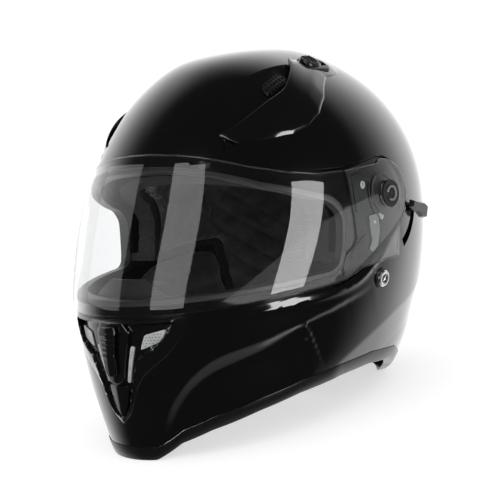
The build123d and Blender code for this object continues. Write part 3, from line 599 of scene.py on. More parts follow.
SHELL = lacquer("shell_lacquer", (0.0022, 0.0022, 0.0024), 0.12)
VENT = lacquer("vent_lacquer", (0.0026, 0.0026, 0.0028), 0.16, 0.03)
TRIM = moulded("trim_rubber", (0.005, 0.005, 0.0052), 0.28, 0.12)
SEAL = moulded("seal_rubber", (0.02, 0.02, 0.0205), 0.42, 0.2)
BLACK = moulded("black_plastic", (0.006, 0.006, 0.0065), 0.34, 0.3)
GREY = moulded("grey_plastic", (0.16, 0.163, 0.167), 0.3, 0.2)
MESH = moulded("vent_mesh", (0.38, 0.384, 0.388), 0.45, 0.3, 900)
STEEL = metal("satin_steel", (0.52, 0.53, 0.54), 0.3)
CHROME = metal("chrome", (0.95, 0.95, 0.96), 0.24, 0.03)
CLEAR = clear("shield_clear", (0.97, 0.975, 0.98), 0.0, 1.46)
SMOKE = clear("visor_smoke", (0.30, 0.30, 0.31), 0.0, 1.46)
FABRIC = knit("lining_knit", (0.05, 0.05, 0.053))
FOAM = beads("impact_foam", (0.02, 0.02, 0.021))
STRAP = webbing("strap_webbing", (0.012, 0.012, 0.013))


def dress(piece, made, body=None, replaces=()):
    """Gives a piece its material and its body, and hides the nodes that it stands for."""
    piece.data.materials.clear()
    piece.data.materials.append(made)
    if body:
        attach(piece, body)
    if replaces:
        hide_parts(*replaces)
    return piece


# ---- outlines shared by several pieces --------------------------------------------------------
SHIELD_TOP = ((-230, 262), (-122, 213), (-106, 203), (-90, 193.5), (-72, 186.5), (-53, 182), (-30, 180.5))
SHIELD_BOTTOM = 104.0
RIM = np.array(((-175, 0), (-160, 0), (-152, 10), (-136, 17), (-107, 24), (-76, 29), (-40, 31), (0, 30),
                (40, 24), (70, 10), (84, 0), (160, 0)), float)


def ear_arc(radius, start, end, count=40):
    """Points round the pivot from one angle to another, in degrees from the back, upwards."""
    angles = np.radians(np.linspace(start, end, count))
    return np.stack((PIVOT_Y + radius * np.cos(angles), PIVOT_Z + radius * np.sin(angles)), 1)


def shield_outline(margin=0.0):
    """The face shield's whole side outline, grown by a margin."""
    top = [(y, z + margin) for y, z in SHIELD_TOP]
    ear = [tuple(p) for p in ear_arc(EAR + margin, 100, -62, 34)]
    low = [(-26 + margin * 0.5, 110 - margin), (-46, SHIELD_BOTTOM + 0.6 - margin),
           (-62, SHIELD_BOTTOM - margin), (-230, SHIELD_BOTTOM - margin)]
    return np.array(top + ear + low)


def rim_height(y):
    """The height of the lower edge at a distance along the helmet."""
    return np.interp(y, RIM[:, 0], RIM[:, 1])


# ---- the unrolled side ----------------------------------------------------------------------
# Distances round the helmet from the middle of the face, for features that wrap round the chin.
unroll_angles = np.linspace(0, math.pi, 721)
unroll_ring = ring_point(ring_at_height(60.0), unroll_angles)
unroll_way = np.concatenate(([0], np.cumsum(np.linalg.norm(np.diff(unroll_ring, axis=0), axis=1))))


def unrolled(points):
    """(distance round, height) of points in millimetres, the same for both sides."""
    p = np.asarray(points, float)
    angle = np.arctan2(np.abs(p[..., 0]), -p[..., 1])
    return np.stack((np.interp(angle, unroll_angles, unroll_way), p[..., 2]), -1)


# The swoosh along the chin bar: its outer edge, its inner edge and the crease that it grows from.
SWOOSH_OUTER = unrolled(((101, -79, 81), (95, -94, 79), (87, -110, 75), (73, -131, 71), (63, -141, 66),
                         (52, -150, 56), (43, -155, 45), (36, -158, 34), (31, -159, 22), (29, -160, 10)))
SWOOSH_INNER = unrolled(((100, -82, 79), (97, -89, 76), (88, -107, 69), (77, -124, 64), (65, -138, 59),
                         (54, -147, 51), (45, -153, 40), (38, -157, 29), (34, -158, 20), (31, -159, 10)))
SIDE_CREASE = unrolled(((115, -12, 95), (114, -22, 92), (111, -39, 89), (108, -55, 86), (105, -69, 84),
                        (100, -82, 81)))
REAR_CREASE = unrolled(((60, 125, 96), (84, 96, 84), (98, 67, 75), (107, 31, 68),
                        (107, 10, 62), (105, -17, 53), (101, -37, 45), (96, -52, 38)))
SHIELD_LEDGE = unrolled(((62, -143, 98), (80, -126, 97), (98, -98, 97), (110, -66, 97), (115, -40, 99),
                         (117, -24, 103), (118, -8, 112), (119, 8, 122), (119, 22, 130)))
swoosh_line = curve_through(SWOOSH_OUTER, 2.0)
swoosh_inner_line = curve_through(SWOOSH_INNER, 2.0)
side_line = curve_through(SIDE_CREASE, 2.0)
rear_line = curve_through(REAR_CREASE, 2.0)
ledge_line = curve_through(SHIELD_LEDGE, 2.0)
SWOOSH_DEPTH, SIDE_DEPTH, REAR_SLOPE, LEDGE_HEIGHT = 4.0, 1.6, 0.17, 1.1


upper_line = np.vstack((side_line, swoosh_line))
lower_line = np.vstack((side_line - (0, 2.6), swoosh_inner_line))
SIDE_SHARE = 0.32  # the share of those lines' length that is the crease behind the swoosh


def shell_relief(flat):
    """How far the shell's face stands off the plain form at unrolled places, in millimetres."""
    lift = np.zeros(len(flat))
    near = flat[:, 1] < 150
    p = flat[near]
    # the swoosh: a band that falls from its outer edge to its inner one, then rises slowly
    outer, along = line_distance(p, upper_line)
    inner, _ = line_distance(p, lower_line)
    depth = np.interp(along, (0, 0.12, SIDE_SHARE, SIDE_SHARE + 0.15, 1),
                      (0, SIDE_DEPTH * 0.6, SIDE_DEPTH, SWOOSH_DEPTH, SWOOSH_DEPTH * 0.8))
    band = np.clip(outer / np.maximum(outer - inner, 1e-6), 0, 1)
    fall = np.where(outer <= 0, 0.0, np.where(inner >= 0, 1 - smooth_step(inner / 42), band ** 0.8))
    value = -depth * fall
    # the facet behind the rear crease
    rear, rear_along = line_distance(p, rear_line)
    tilt = np.clip(rear, 0, 26)
    value -= (REAR_SLOPE * (tilt - tilt ** 2 / 78) * smooth_step(rear_along * 5)
              * smooth_step((1 - rear_along) * 12))
    # the ledge along the face shield's lower edge
    ledge, ledge_along = line_distance(p, ledge_line)
    rise = np.where(ledge > 0, smooth_step(1 - ledge / 2.2), 1 - smooth_step(-ledge / 5))
    value += LEDGE_HEIGHT * rise * smooth_step(ledge_along * 14) * smooth_step((1 - ledge_along) * 7)
    lift[near] = value
    return lift


def round_point(s, z, growth=0.0):
    """A place from its signed distance round the helmet from the face's middle and its height."""
    s = np.asarray(s, float)
    angle = np.interp(np.abs(s), unroll_way, unroll_angles) * np.where(s < 0, -1, 1)
    return ring_point(ring_at_height(z), angle, growth)


def line_height(outline, s, guess):
    """The height at which an outline (y, z) crosses the form at a distance round it."""
    line = np.asarray(outline, float)
    z = np.full(np.shape(s), float(guess))
    for _ in range(40):
        y = round_point(s, z)[..., 1]
        z = 0.5 * z + 0.5 * np.interp(y, line[:, 0], line[:, 1])
    return z


def wrapped(outline_left):
    """A closed loop round the face from its left half, ordered from the top middle to the ear
    and back to the bottom middle."""
    left = np.asarray(outline_left, float)
    return np.vstack((left, left[::-1][1:-1] * (-1, 1)))


def wrap_round(top, ear, bottom, guess_top, guess_bottom, spacing=2.2):
    """The wrapped loop of a side outline given as its top line, its rear points and its bottom
    line, each (y, z)."""
    ear_flat = unrolled(on_side(np.array(ear)[:, 0], np.array(ear)[:, 1]))
    start_top, start_low = ear_flat[0][0], ear_flat[-1][0]
    s_top = np.arange(0, start_top - spacing, spacing)
    s_low = np.arange(start_low - spacing, 0, -spacing)
    s_low = np.append(s_low, 0.0)
    top_points = np.stack((s_top, line_height(top, s_top, guess_top)), 1)
    low_points = np.stack((s_low, line_height(bottom, s_low, guess_bottom)), 1)
    return wrapped(np.vstack((top_points, ear_flat, low_points)))


# ---- vent outlines, in millimetres ---------------------------------------------------------
# From above, as (x, y): the scoop's inner rim, the fairing's leading edge over the scoop, and
# the rest of the fairing's outline back round to the first point.
SCOOP_RIM = curve_through(((59, -94), (53, -86), (51, -74), (52, -60), (54, -47), (57, -30), (60, -9)), 2)
LEADING_EDGE = curve_through(((60, -9), (68, -17), (75, -29), (79.5, -41), (79, -54), (76, -66), (71, -78),
                              (65, -87), (59, -94)), 2)
FAIRING_REST = ((59, -94), (66, -90.5), (73, -86.5), (81, -79), (88, -68), (94, -56), (97.5, -42),
                (96.5, -26), (91, -11), (84, 0), (78, 11), (76, 22), (73, 33), (66, 43), (59, 45),
                (57, 36), (56, 22), (58, 8), (60, -9))
SCOOP = np.vstack((SCOOP_RIM[:-1],
                   offset_loop(np.vstack((LEADING_EDGE, FAIRING_REST[1:-1])), 6)[:len(LEADING_EDGE)]))
SCOOP_DEPTH = 4.3
FAIRING = resample(np.vstack((LEADING_EDGE, resample(FAIRING_REST, 2.0, closed=False)[1:-1])), 1.6)


def two_sided(half):
    """A closed outline from its half at x >= 0, given from the top middle to the bottom middle."""
    half = np.asarray(half, float)
    return np.vstack((half, half[::-1][1:-1] * (-1, 1)))


# From the front, as (x, z), the half at the wearer's left.
CHIN_HALF = ((0, 101.5), (61, 101.5), (55, 90), (49, 82), (43, 75.5), (34, 69), (25, 62), (18, 53), (13, 42),
             (9, 34), (0, 26.5))
CHIN_RECESS_HALF = ((0, 99), (51, 99), (45, 90.5), (38, 83), (30, 78), (23.5, 74.5), (19, 65),
                    (15, 54), (11, 43), (7.5, 36), (0, 31))
TONGUE_HALF = ((0, 99.5), (11, 99.5), (16.5, 93), (14.5, 84), (11, 72), (8, 60), (5.5, 57), (0, 56))
KEEL_HALF = ((0, 55), (8.5, 55), (9.5, 50), (6.5, 40), (3.5, 34.5), (0, 32.5))
CHIN_WINDOW = ((24.8, 81), (28.3, 90), (42.5, 93), (39, 86))
CHIN_SLIT = ((18.6, 82), (16.6, 82.5), (9.5, 57.5), (11, 57))
CHIN_OUTLINE = resample(two_sided(CHIN_HALF), 1.6)
# From behind, as (x, z).
REAR_OUTLINE = resample(two_sided(((0, 224), (30, 223), (46, 219), (41, 206), (36, 197), (24, 192),
                                   (0, 190))), 2.5)
REAR_SLOT = ((9, 206), (33, 207), (30, 200), (9, 199))


# ---- shell ---------------------------------------------------------------------------------
COLUMNS_FRONT, COLUMNS_BACK = 296, 110
ROWS = 184
INNER_ROWS = 26
WALL = 4.6
TRIM_HEIGHT = 10.0


def skin_grid(low_rise, top_t, rows, growth, use_relief):
    """A wrapped grid of the form from the rim line up, as (rows, columns, 3)."""
    half_front = np.linspace(0, math.radians(118), COLUMNS_FRONT // 2, endpoint=False)
    half_back = np.linspace(math.radians(118), math.pi, COLUMNS_BACK // 2 + 1)
    half = np.concatenate((half_front, half_back))
    angles = np.concatenate((half, -half[1:-1][::-1]))
    t = np.full(len(angles), float(ring_at_height(20)))
    for _ in range(60):
        y = ring_point(t, angles)[:, 1]
        t = 0.5 * t + 0.5 * ring_at_height(rim_height(y) + low_rise)
    share = np.linspace(0, 1, rows)[:, None]
    grid_t = t[None, :] + share * (top_t - t[None, :])
    grid_a = np.broadcast_to(angles, grid_t.shape)
    base = ring_point(grid_t, grid_a)
    lift = np.full(grid_t.shape, float(growth))
    if use_relief:
        lift = lift + shell_relief(unrolled(base).reshape(-1, 2)).reshape(grid_t.shape)
    return ring_point(grid_t, grid_a, lift)


def grid_faces(rows, columns, start=0, flip=False):
    """Quads of a grid that closes on itself round its columns."""
    faces = []
    for r in range(rows - 1):
        for c in range(columns):
            a, b = start + r * columns + c, start + r * columns + (c + 1) % columns
            face = (a, b, b + columns, a + columns)
            faces.append(face[::-1] if flip else face)
    return faces


def make_shell():
    """The painted shell as a closed wall from the rim up to the top, before its eyeport, pockets, the vents'
    recesses and holes are cut.
    """
    top_t = WAY[-1] * 0.9995
    outer = skin_grid(TRIM_HEIGHT + 0.25, top_t, ROWS, 0.0, True)
    inner = skin_grid(TRIM_HEIGHT + 0.25, top_t, INNER_ROWS, -WALL, False)
    columns = outer.shape[1]
    count_outer = outer.shape[0] * columns
    places = np.vstack((outer.reshape(-1, 3), inner.reshape(-1, 3), outer[-1].mean(0)[None],
                        inner[-1].mean(0)[None]))
    faces = grid_faces(ROWS, columns) + grid_faces(INNER_ROWS, columns, count_outer, True)
    last_outer, last_inner = (ROWS - 1) * columns, count_outer + (INNER_ROWS - 1) * columns
    tip_outer, tip_inner = len(places) - 2, len(places) - 1
    for c in range(columns):
        d = (c + 1) % columns
        faces.append((last_outer + c, last_outer + d, tip_outer))
        faces.append((last_inner + d, last_inner + c, tip_inner))
        faces.append((d, c, count_outer + c, count_outer + d))
    shell = mesh_object("helmet_shell", to_frame(places), faces)
    return shell


shell = make_shell()
eyeport_loop = wrap_round(((-230, 250), (-118, 200), (-90, 183), (-58, 170)),
                          curve_through(((-58, 170), (-48, 166), (-42, 160), (-38.5, 152), (-38.5, 143),
                                         (-40, 133), (-42.5, 123), (-46, 114), (-53, 110), (-62, 110)), 2.2),
                          ((-230, 110), (-62, 110)), 195, 110)
tools = [slab("eyeport_tool", eyeport_loop, round_point, ((-1.0, 6), (0, 0), (0, -8)), 6)]
pocket = np.array([p for p in shield_outline(3.0) if p[0] > -52])
pocket = resample(np.vstack(((-52, 185), pocket, (-52, 101))), 2.0)
for flip in (False, True):
    tools.append(slab("pocket_tool", pocket, on_side, cutter(-3.4, 0.35), 4, mirrored=flip))
tools.append(slab("lever_tool", resample(np.vstack((ear_arc(48.5, -17, -65), ear_arc(41.5, -65, -17))), 1.5),
                  on_side, ((0, 4), (0, -9)), 4))
for flip in (False, True):
    tools.append(slab("scoop_tool", SCOOP, on_top, ((0, 9), (0, -5.2)), 5, mirrored=flip))
chin_middle = np.array((0, 80))
tools.append(slab("chin_tool", (CHIN_OUTLINE[::2] - chin_middle) * 0.975 + chin_middle, on_front,
                  ((0, 6), (0, -5.5)), 5))
tools.append(slab("rear_tool", offset_loop(REAR_OUTLINE, 5), on_back, ((0, 6), (0, -5.5)), 5))
for side_sign in (1, -1):
    spot = on_side(-1, 97) * (side_sign, 1, 1)
    tools.append(bar("rivet_tool", spot - np.array((30, 0, 0)), spot + np.array((20, 0, 0)), 3.1))
carve(shell, *tools)
dress(shell, SHELL, "helmet", ["outer_shell"])

# ---- rubber trim ----------------------------------------------------------------------------
def make_trim():
    """The moulded edge under the shell: a rounded section swept round the rim line."""
    section = []
    for share, depth in ((1.0, 0.0), (0.985, 0.35), (0.9, 0.6), (0.5, 0.75), (0.1, 0.6), (0.02, 0.2),
                         (0.0, -0.6), (0.0, -6.2), (0.06, -7.0), (0.94, -7.0), (1.0, -6.2), (1.0, -0.3)):
        section.append(skin_grid(TRIM_HEIGHT * share, WAY[-1], 2, depth, True)[0])
    rows, columns = len(section), section[0].shape[0]
    places = np.concatenate(section)
    faces = []
    for r in range(rows):
        for c in range(columns):
            a, b = r * columns + c, r * columns + (c + 1) % columns
            k = ((r + 1) % rows) * columns
            faces.append((a, b, k + (c + 1) % columns, k + c))
    return mesh_object("rim_trim", to_frame(places), faces)


dress(make_trim(), TRIM, "helmet", ["bottom_trim"])

# ---- face shield ------------------------------------------------------------------------------
shield_loop = wrap_round(SHIELD_TOP, ear_arc(EAR, 100, -62, 60),
                         ((-230, 104), (-62, 104), (-46, 104.6), (-26, 110)),
                         205, 104)
shield = slab("clear_shield", shield_loop, round_point, rounded(1.0, 3.2, 0.5), 4.5)
carve(shield, bar("hole_tool", (60, PIVOT_Y, PIVOT_Z), (150, PIVOT_Y, PIVOT_Z), 10),
      bar("hole_tool", (-60, PIVOT_Y, PIVOT_Z), (-150, PIVOT_Y, PIVOT_Z), 10))
dress(shield, CLEAR, "shield", ["face_shield"])

seal_inner = wrap_round(((-230, 245), (-118, 195.5), (-90, 178.5), (-62, 166)),
                        curve_through(((-62, 166), (-52, 162), (-46.5, 157), (-43, 151), (-43, 143),
                                       (-44.5, 133), (-47, 123), (-50, 117), (-56, 114.2), (-64, 114)), 2.2),
                        ((-230, 114), (-62, 114)), 190, 114)
seal = slab("port_seal", eyeport_loop, round_point, rounded(-8, 0.5, 0.9), 2.6, holes=[seal_inner])
dress(seal, SEAL, "helmet", ["eyeport_seal"])

# ---- top vents -------------------------------------------------------------------------------
def scoop_relief(flat):
    """The scoop falls from its rim to the fairing's leading edge."""
    rim = np.abs(line_distance(flat, SCOOP_RIM)[0])
    edge = np.abs(line_distance(flat, LEADING_EDGE)[0])
    beyond = inside(flat, FAIRING)
    share = np.where(beyond, 1.0, rim / np.maximum(rim + edge, 1e-6))
    room = smooth_step((rim + edge) / 15)
    return -SCOOP_DEPTH * (1 - (1 - share) ** 1.7) * np.where(beyond, smooth_step(rim / 12), room)


def fairing_relief(flat):
    """The fairing stands highest along its leading edge and sinks towards its tip, tail and side."""
    edge = np.abs(line_distance(flat, LEADING_EDGE)[0])
    side = np.abs(line_distance(flat, np.asarray(FAIRING_REST, float))[0])
    low_side = 1.7 * (1 - smooth_step(side / 8)) * smooth_step(edge / 5)
    tip = smooth_step((flat[:, 1] + 96) / 40)
    tail = 1 - smooth_step((flat[:, 1] - 5) / 42)
    return (1.5 * (1 - smooth_step(edge / 16)) * tip + 0.6 * tail * tip - 0.9 * (1 - tip)
            - 0.7 * (1 - tail) - low_side)


SLOT_CENTRE = (67.5, 11)   # the top vent slider's slot


def capsule(centre, length, width, count=10):
    """A slot's outline, long along its second coordinate."""
    half, radius = (length - width) / 2, width / 2
    turn = np.linspace(0, math.pi, count)
    top = np.stack((np.cos(turn) * radius, half + np.sin(turn) * radius), 1)
    return np.vstack((top, -top)) + centre


KNOB = (67.5, 7.6)
for flip, hand in ((False, "left"), (True, "right")):
    cover = f"top_vent_cover_{hand}"
    bowl = slab(f"scoop_bowl_{hand}", SCOOP, on_top, ((0.05, 0.0), (0.05, -0.6), (0.05, -5.0)), 1.7,
                mirrored=flip,
                relief=scoop_relief, smooth_angle=50)
    dress(bowl, VENT, "helmet")
    fairing = slab(f"vent_fairing_{hand}", FAIRING, on_top, rounded(-0.3, 2.3, 0.9), 1.9,
                   holes=[capsule(SLOT_CENTRE, 27, 6)], mirrored=flip, relief=fairing_relief)
    dress(fairing, VENT, "helmet", [cover])
    well = slab(f"slider_well_{hand}", capsule(SLOT_CENTRE, 30, 13.5), on_top, rounded(1.8, 3.3, 0.4), 2.5,
                holes=[capsule(SLOT_CENTRE, 26.5, 5.6)], mirrored=flip)
    dress(well, BLACK, "helmet")
    knob = slab(f"slider_knob_{hand}", capsule(KNOB, 16, 10), on_top, rounded(3.7, 5.6, 0.7), 0.8,
                mirrored=flip,
                relief=lambda p: 0.9 * np.clip(np.cos((p[:, 1] - KNOB[1]) * 2 * math.pi / 3.4), 0, 1)
                * smooth_step(6.4 - np.abs(p[:, 1] - KNOB[1])) * smooth_step(4.2 - np.abs(p[:, 0] - KNOB[0])))
    foot = slab(f"slider_foot_{hand}", capsule(KNOB, 9, 3.6), on_top, ((0, 3.8), (0, 0.9)), 1.5,
                mirrored=flip)
    for piece in (knob, foot):
        dress(piece, BLACK, f"top_slider_{hand}")
    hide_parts(f"top_vent_slider_{hand}")


# ---- chin vent -------------------------------------------------------------------------------
CHIN_RECESS = resample(two_sided(CHIN_RECESS_HALF), 1.6)


def chin_relief(flat):
    """A chamfered frame round a recess, a ridge down the middle of the tongue's bed."""
    frame_room = polygon_distance(flat, CHIN_OUTLINE)
    depth_in = polygon_distance(flat, CHIN_RECESS)
    band = np.clip(frame_room / np.maximum(frame_room - np.minimum(depth_in, -1e-3), 1e-3), 0, 1)
    frame_height = 0.2 + 1.5 * band
    floor = -2.9 + 0.8 * smooth_step(1 - np.abs(flat[:, 0]) / 18)
    return np.where(depth_in > 0,
                    frame_height.max() + (floor - frame_height.max()) * smooth_step(depth_in / 2.2),
                    frame_height)


def both(outline):
    """An outline and its mirror image."""
    outline = np.asarray(outline, float)
    return [outline, outline[::-1] * (-1, 1)]


windows = [resample(o, 1.5) for shape in (CHIN_WINDOW, CHIN_SLIT) for o in both(shape)]
housing = slab("chin_vent_frame", CHIN_OUTLINE, on_front, rounded(-4.4, 0.0, 0.35), 1.5, holes=windows,
               relief=chin_relief)
dress(housing, VENT, "helmet", ["chin_vent_housing"])


def ridge(half_width, height):
    """A relief that rises to a ridge down the middle line."""
    return lambda p: height * (1 - np.clip(np.abs(p[:, 0]) / half_width, 0, 1))


keel = slab("chin_vent_keel", resample(two_sided(KEEL_HALF), 1.2), on_front, rounded(-3.2, -0.4, 0.7), 1.5,
            relief=ridge(8, 1.3))
bed = slab("chin_vent_bed", resample(two_sided(TONGUE_HALF), 1.2), on_front, rounded(-3.2, 0.2, 0.8), 1.5,
           holes=[capsule((0, 79.5), 34, 5.4)], relief=ridge(16, 1.5))
for piece in (keel, bed):
    dress(piece, VENT, "helmet")


def perforations(outline, pitch, radius):
    """Hexagonal holes on a staggered grid inside an outline."""
    outline = np.asarray(outline, float)
    found, row = [], 0
    z = outline[:, 1].min()
    while z < outline[:, 1].max():
        x = outline[:, 0].min() + (row % 2) * pitch / 2
        while x < outline[:, 0].max():
            if polygon_distance(np.array([[x, z]]), outline)[0] > radius + 0.5:
                turn = np.arange(6) * math.pi / 3
                found.append(np.stack((x + radius * np.cos(turn), z + radius * np.sin(turn)), 1))
            x += pitch
        z += pitch * 0.87
        row += 1
    return found


for index, window in enumerate(windows):
    grown = offset_loop(window, -0.6)
    screen = slab(f"chin_vent_screen_{index}", grown, on_front, rounded(-2.6, -1.7, 0.2), 2.0,
                  holes=perforations(grown, 2.3, 0.5))
    dress(screen, MESH, "helmet", ["chin_vent_mesh"] if index == 0 else ())

SLIDER_HALF = ((0, 97), (7, 97), (8, 93), (6.3, 80), (4.8, 66), (3, 62.5), (0, 62))
slider = slab("chin_slider_tab", resample(two_sided(SLIDER_HALF), 1.2), on_front, rounded(3.4, 4.5, 0.5), 1.0,
              relief=lambda p: 0.85 * (1 - np.clip(np.abs(p[:, 0]) / 7, 0, 1))
              + 0.3 * np.cos(np.clip(p[:, 1] - 84, -7, 7) * 2 * math.pi / 3.5)
              * smooth_step(9 - np.abs(p[:, 1] - 84)))
neck = slab("chin_slider_neck", capsule((0, 81.5), 16, 3.6), on_front, ((0, 3.6), (0, -5.4)), 2.0)
for piece in (slider, neck):
    dress(piece, VENT, "chin_slider")
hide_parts("chin_vent_slider")

# ---- rear vent -------------------------------------------------------------------------------
rear = slab("rear_vent_spoiler", REAR_OUTLINE, on_back, rounded(-0.4, 2.4, 1.0), 2.0,
            holes=[resample(o, 1.5) for o in both(REAR_SLOT)],
            relief=lambda p: 1.6 * smooth_step(1 - np.abs(p[:, 1] - 209) / 9)
            * smooth_step((46 - np.abs(p[:, 0])) / 20))
rear_bed = slab("rear_vent_bed", offset_loop(REAR_OUTLINE, 3), on_back, rounded(-5.0, -3.6, 0.4), 3.0)
dress(rear, VENT, "helmet", ["rear_vent_cover"])
dress(rear_bed, BLACK, "helmet")

# ---- face shield mechanism and strap rivets -------------------------------------------------------
def arc_band(centre, radius, width, start, end):
    """The outline of a round-ended band along an arc, from start to end in degrees."""
    turn = np.radians(np.linspace(start, end, 28))
    outer = np.stack((np.cos(turn), np.sin(turn)), 1) * (radius + width / 2)
    inner = np.stack((np.cos(turn), np.sin(turn)), 1)[::-1] * (radius - width / 2)
    return resample(np.vstack((outer, inner)) + centre, 0.8)


def flat_side(x):
    """A projection onto the flat plane at a distance x to the wearer's left."""
    return lambda y, z, lift: np.stack((x + np.asarray(lift, float), y, z), -1)


def lathe(name, profile, centre, axis, sides=64):
    """A turned piece: profile lists (radius, distance along the axis) from the middle out and back."""
    axis = Vector(axis).normalized()
    start = axis.orthogonal().normalized()
    other = axis.cross(start)
    turn = np.linspace(0, 2 * math.pi, sides, endpoint=False)
    around = np.cos(turn)[:, None] * np.array(start) + np.sin(turn)[:, None] * np.array(other)
    places = [np.array(centre) + np.array(axis) * profile[0][1]]
    faces = []
    for radius, along in profile[1:-1]:
        places.extend(np.array(centre) + around * radius + np.array(axis) * along)
    places.append(np.array(centre) + np.array(axis) * profile[-1][1])
    rings = len(profile) - 2
    for k in range(sides):
        n = (k + 1) % sides
        faces.append((0, 1 + k, 1 + n))
        for r in range(rings - 1):
            a = 1 + r * sides
            faces.append((a + k, a + sides + k, a + sides + n, a + n))
        a = 1 + (rings - 1) * sides
        faces.append((a + k, len(places) - 1, a + n))
    return mesh_object(name, to_frame(np.array(places)), faces, 30)


def joined(name, pieces):
    """One object from several."""
    work = bmesh.new()
    for piece in pieces:
        work.from_mesh(piece.data)
        bpy.data.objects.remove(piece)
    mesh = bpy.data.meshes.new(name)
    work.to_mesh(mesh)
    work.free()
    mesh.shade_smooth()
    mesh.set_sharp_from_angle(angle=math.radians(30))
    whole = bpy.data.objects.new(name, mesh)
    bpy.context.scene.collection.objects.link(whole)
    return whole


HUB = (PIVOT_Y, PIVOT_Z)
HUB_FACE = 124.5  # the boss's outer end, to the wearer's left
PLATE_DEPTH = -1.8
PLATE_RIBS = (
    (HUB, 15.5, 1.6, 105, 250), (HUB, 20.5, 1.3, 150, 235), (HUB, 13.2, 1.2, -60, 80),
    ((-8, 140), 7.5, 1.3, -100, 60),
)
for flip, hand in ((False, "left"), (True, "right")):
    sign = -1 if flip else 1
    ribs = [slab("rib", arc_band(*spec), on_side, rounded(PLATE_DEPTH - 0.4, PLATE_DEPTH + 0.7, 0.4), 3,
                 mirrored=flip)
            for spec in PLATE_RIBS]
    blade = resample(((-24, 176), (-12, 178), (-3, 172), (-6, 169), (-15, 172), (-21, 168), (-23, 150),
                      (-26, 150)), 1)
    ribs.append(slab("rib", blade, on_side, rounded(PLATE_DEPTH - 0.4, PLATE_DEPTH + 0.6, 0.4), 3,
                     mirrored=flip))
    ribs.append(slab("rib", resample(((-24, 131), (-19, 133), (-15, 128), (-22, 124), (-34, 118),
                                      (-36, 121)), 1),
                     on_side, rounded(PLATE_DEPTH - 0.4, PLATE_DEPTH + 0.6, 0.4), 3, mirrored=flip))
    dress(joined(f"base_plate_ribs_{hand}", ribs), BLACK, "helmet")
    ring = slab("ring", arc_band(HUB, 5.0, 1.5, -130, 165), flat_side(HUB_FACE), rounded(-0.6, 1.2, 0.4), 3,
                mirrored=flip)
    disc = lathe("disc", ((0, 0.5), (2.3, 0.5), (2.6, 0.2), (5.9, 0.15), (6.3, -0.2), (6.3, -1.4), (0, -1.4)),
                 (sign * HUB_FACE, PIVOT_Y, PIVOT_Z), (sign, 0, 0))
    dress(ring, GREY, "helmet")
    dress(disc, BLACK, "helmet", [f"shield_hub_{hand}"])
    seat = on_side(-1, 97)
    lean = on_side(-1, 99)[0] - on_side(-1, 95)[0]
    out = Vector((1, 0.02, -lean / 4)).normalized() * 1.0
    centre, out = seat * (sign, 1, 1), (sign * out.x, out.y, out.z)
    rivet = lathe("rivet", ((0, 1.1), (2.4, 1.1), (2.9, 1.4), (3.3, 2.3), (3.7, 2.9), (4.6, 3.2),
                            (5.6, 3.0), (6.2, 2.3), (6.4, 1.2), (6.4, 0.8), (3.0, 0.7), (3.0, -9.0),
                            (4.6, -9.0),
                            (4.6, -9.6), (0, -9.6)),
                  centre, out)
    dress(joined(f"strap_rivet_ring_{hand}", [rivet]), CHROME, "helmet", [f"strap_rivet_{hand}"])
    socket = lathe("socket", ((0, 1.75), (1.5, 1.7), (2.4, 1.5), (2.5, 1.0), (0, 1.0)), centre, out)
    collar = lathe("collar", ((0, 0.06), (3.2, 0.06), (3.2, 0.75), (6.5, 0.8), (7.6, 0.7), (8.0, 0.25),
                              (8.0, 0.0), (0, 0.0)),
                   centre, out)
    dress(joined(f"rivet_collar_{hand}", [socket, collar]), BLACK, "helmet",
          ["strap_rivet_washers"] if not flip else ())

# ---- padded lining ---------------------------------------------------------------------------
HEAD = np.array((0, -5, 150))  # middle of the head, which the padding faces
CHEEK = np.array(((29, 46), (29, 114), (-30, 114), (-38, 104), (-64, 101), (-77, 82), (-71, 45),
                  (-38, 46)), float)
SWELL_FRAMES = 20
QUILT_CELLS = 22  # diamonds round the head
QUILT_PITCH, QUILT_HIGH = 27.0, 19.0
CROWN_PANEL = 58.0  # radius of the lining's top panel
STRAP_MID = -1.0
STRAP_PATH = np.array(((110.1, 104), (108.1, 91), (101, 69), (87, 46), (76, 33), (56, 24), (37, 24)), float)


def mesh_arrays(mesh):
    """A mesh's points and normals, as arrays."""
    points, normals = np.empty(len(mesh.vertices) * 3), np.empty(len(mesh.vertices) * 3)
    mesh.vertices.foreach_get("co", points)
    mesh.vertices.foreach_get("normal", normals)
    return points.reshape(-1, 3), normals.reshape(-1, 3)


def move_points(mesh, points):
    """Writes a mesh's points back."""
    mesh.vertices.foreach_set("co", points.ravel())
    mesh.update()


def settle(piece):
    """Makes a piece's modifiers part of its mesh."""
    made = bpy.data.meshes.new_from_object(piece.evaluated_get(bpy.context.evaluated_depsgraph_get()))
    piece.modifiers.clear()
    piece.data = made


def towards_head(points, normals):
    """How squarely a surface faces the head, from 0 to 1."""
    way = to_frame(HEAD) - points
    way /= np.linalg.norm(way, axis=1, keepdims=True)
    return np.clip((way * normals).sum(1) * 1.6, 0, 1)


def swell(piece, cap):
    """Blows a pad up like stuffing does. Its back, held by the foam, moves least."""
    points, normals = mesh_arrays(piece.data)
    limit = (cap * (0.25 + 0.75 * towards_head(points, normals)))[:, None]
    cloth = piece.modifiers.new("cloth", "CLOTH")
    cloth.settings.use_pressure = True
    cloth.settings.uniform_pressure_force = 4.0
    cloth.settings.effector_weights.gravity = 0.0
    cloth.point_cache.frame_start = 1
    cloth.point_cache.frame_end = SWELL_FRAMES
    for step in range(1, SWELL_FRAMES + 1):
        bpy.context.scene.frame_set(step)
    settle(piece)
    moved = mesh_arrays(piece.data)[0] - points
    far = np.maximum(np.linalg.norm(moved, axis=1, keepdims=True), 1e-9)
    move_points(piece.data, points + moved * np.minimum(1, limit / far))
    bpy.context.scene.frame_set(1)


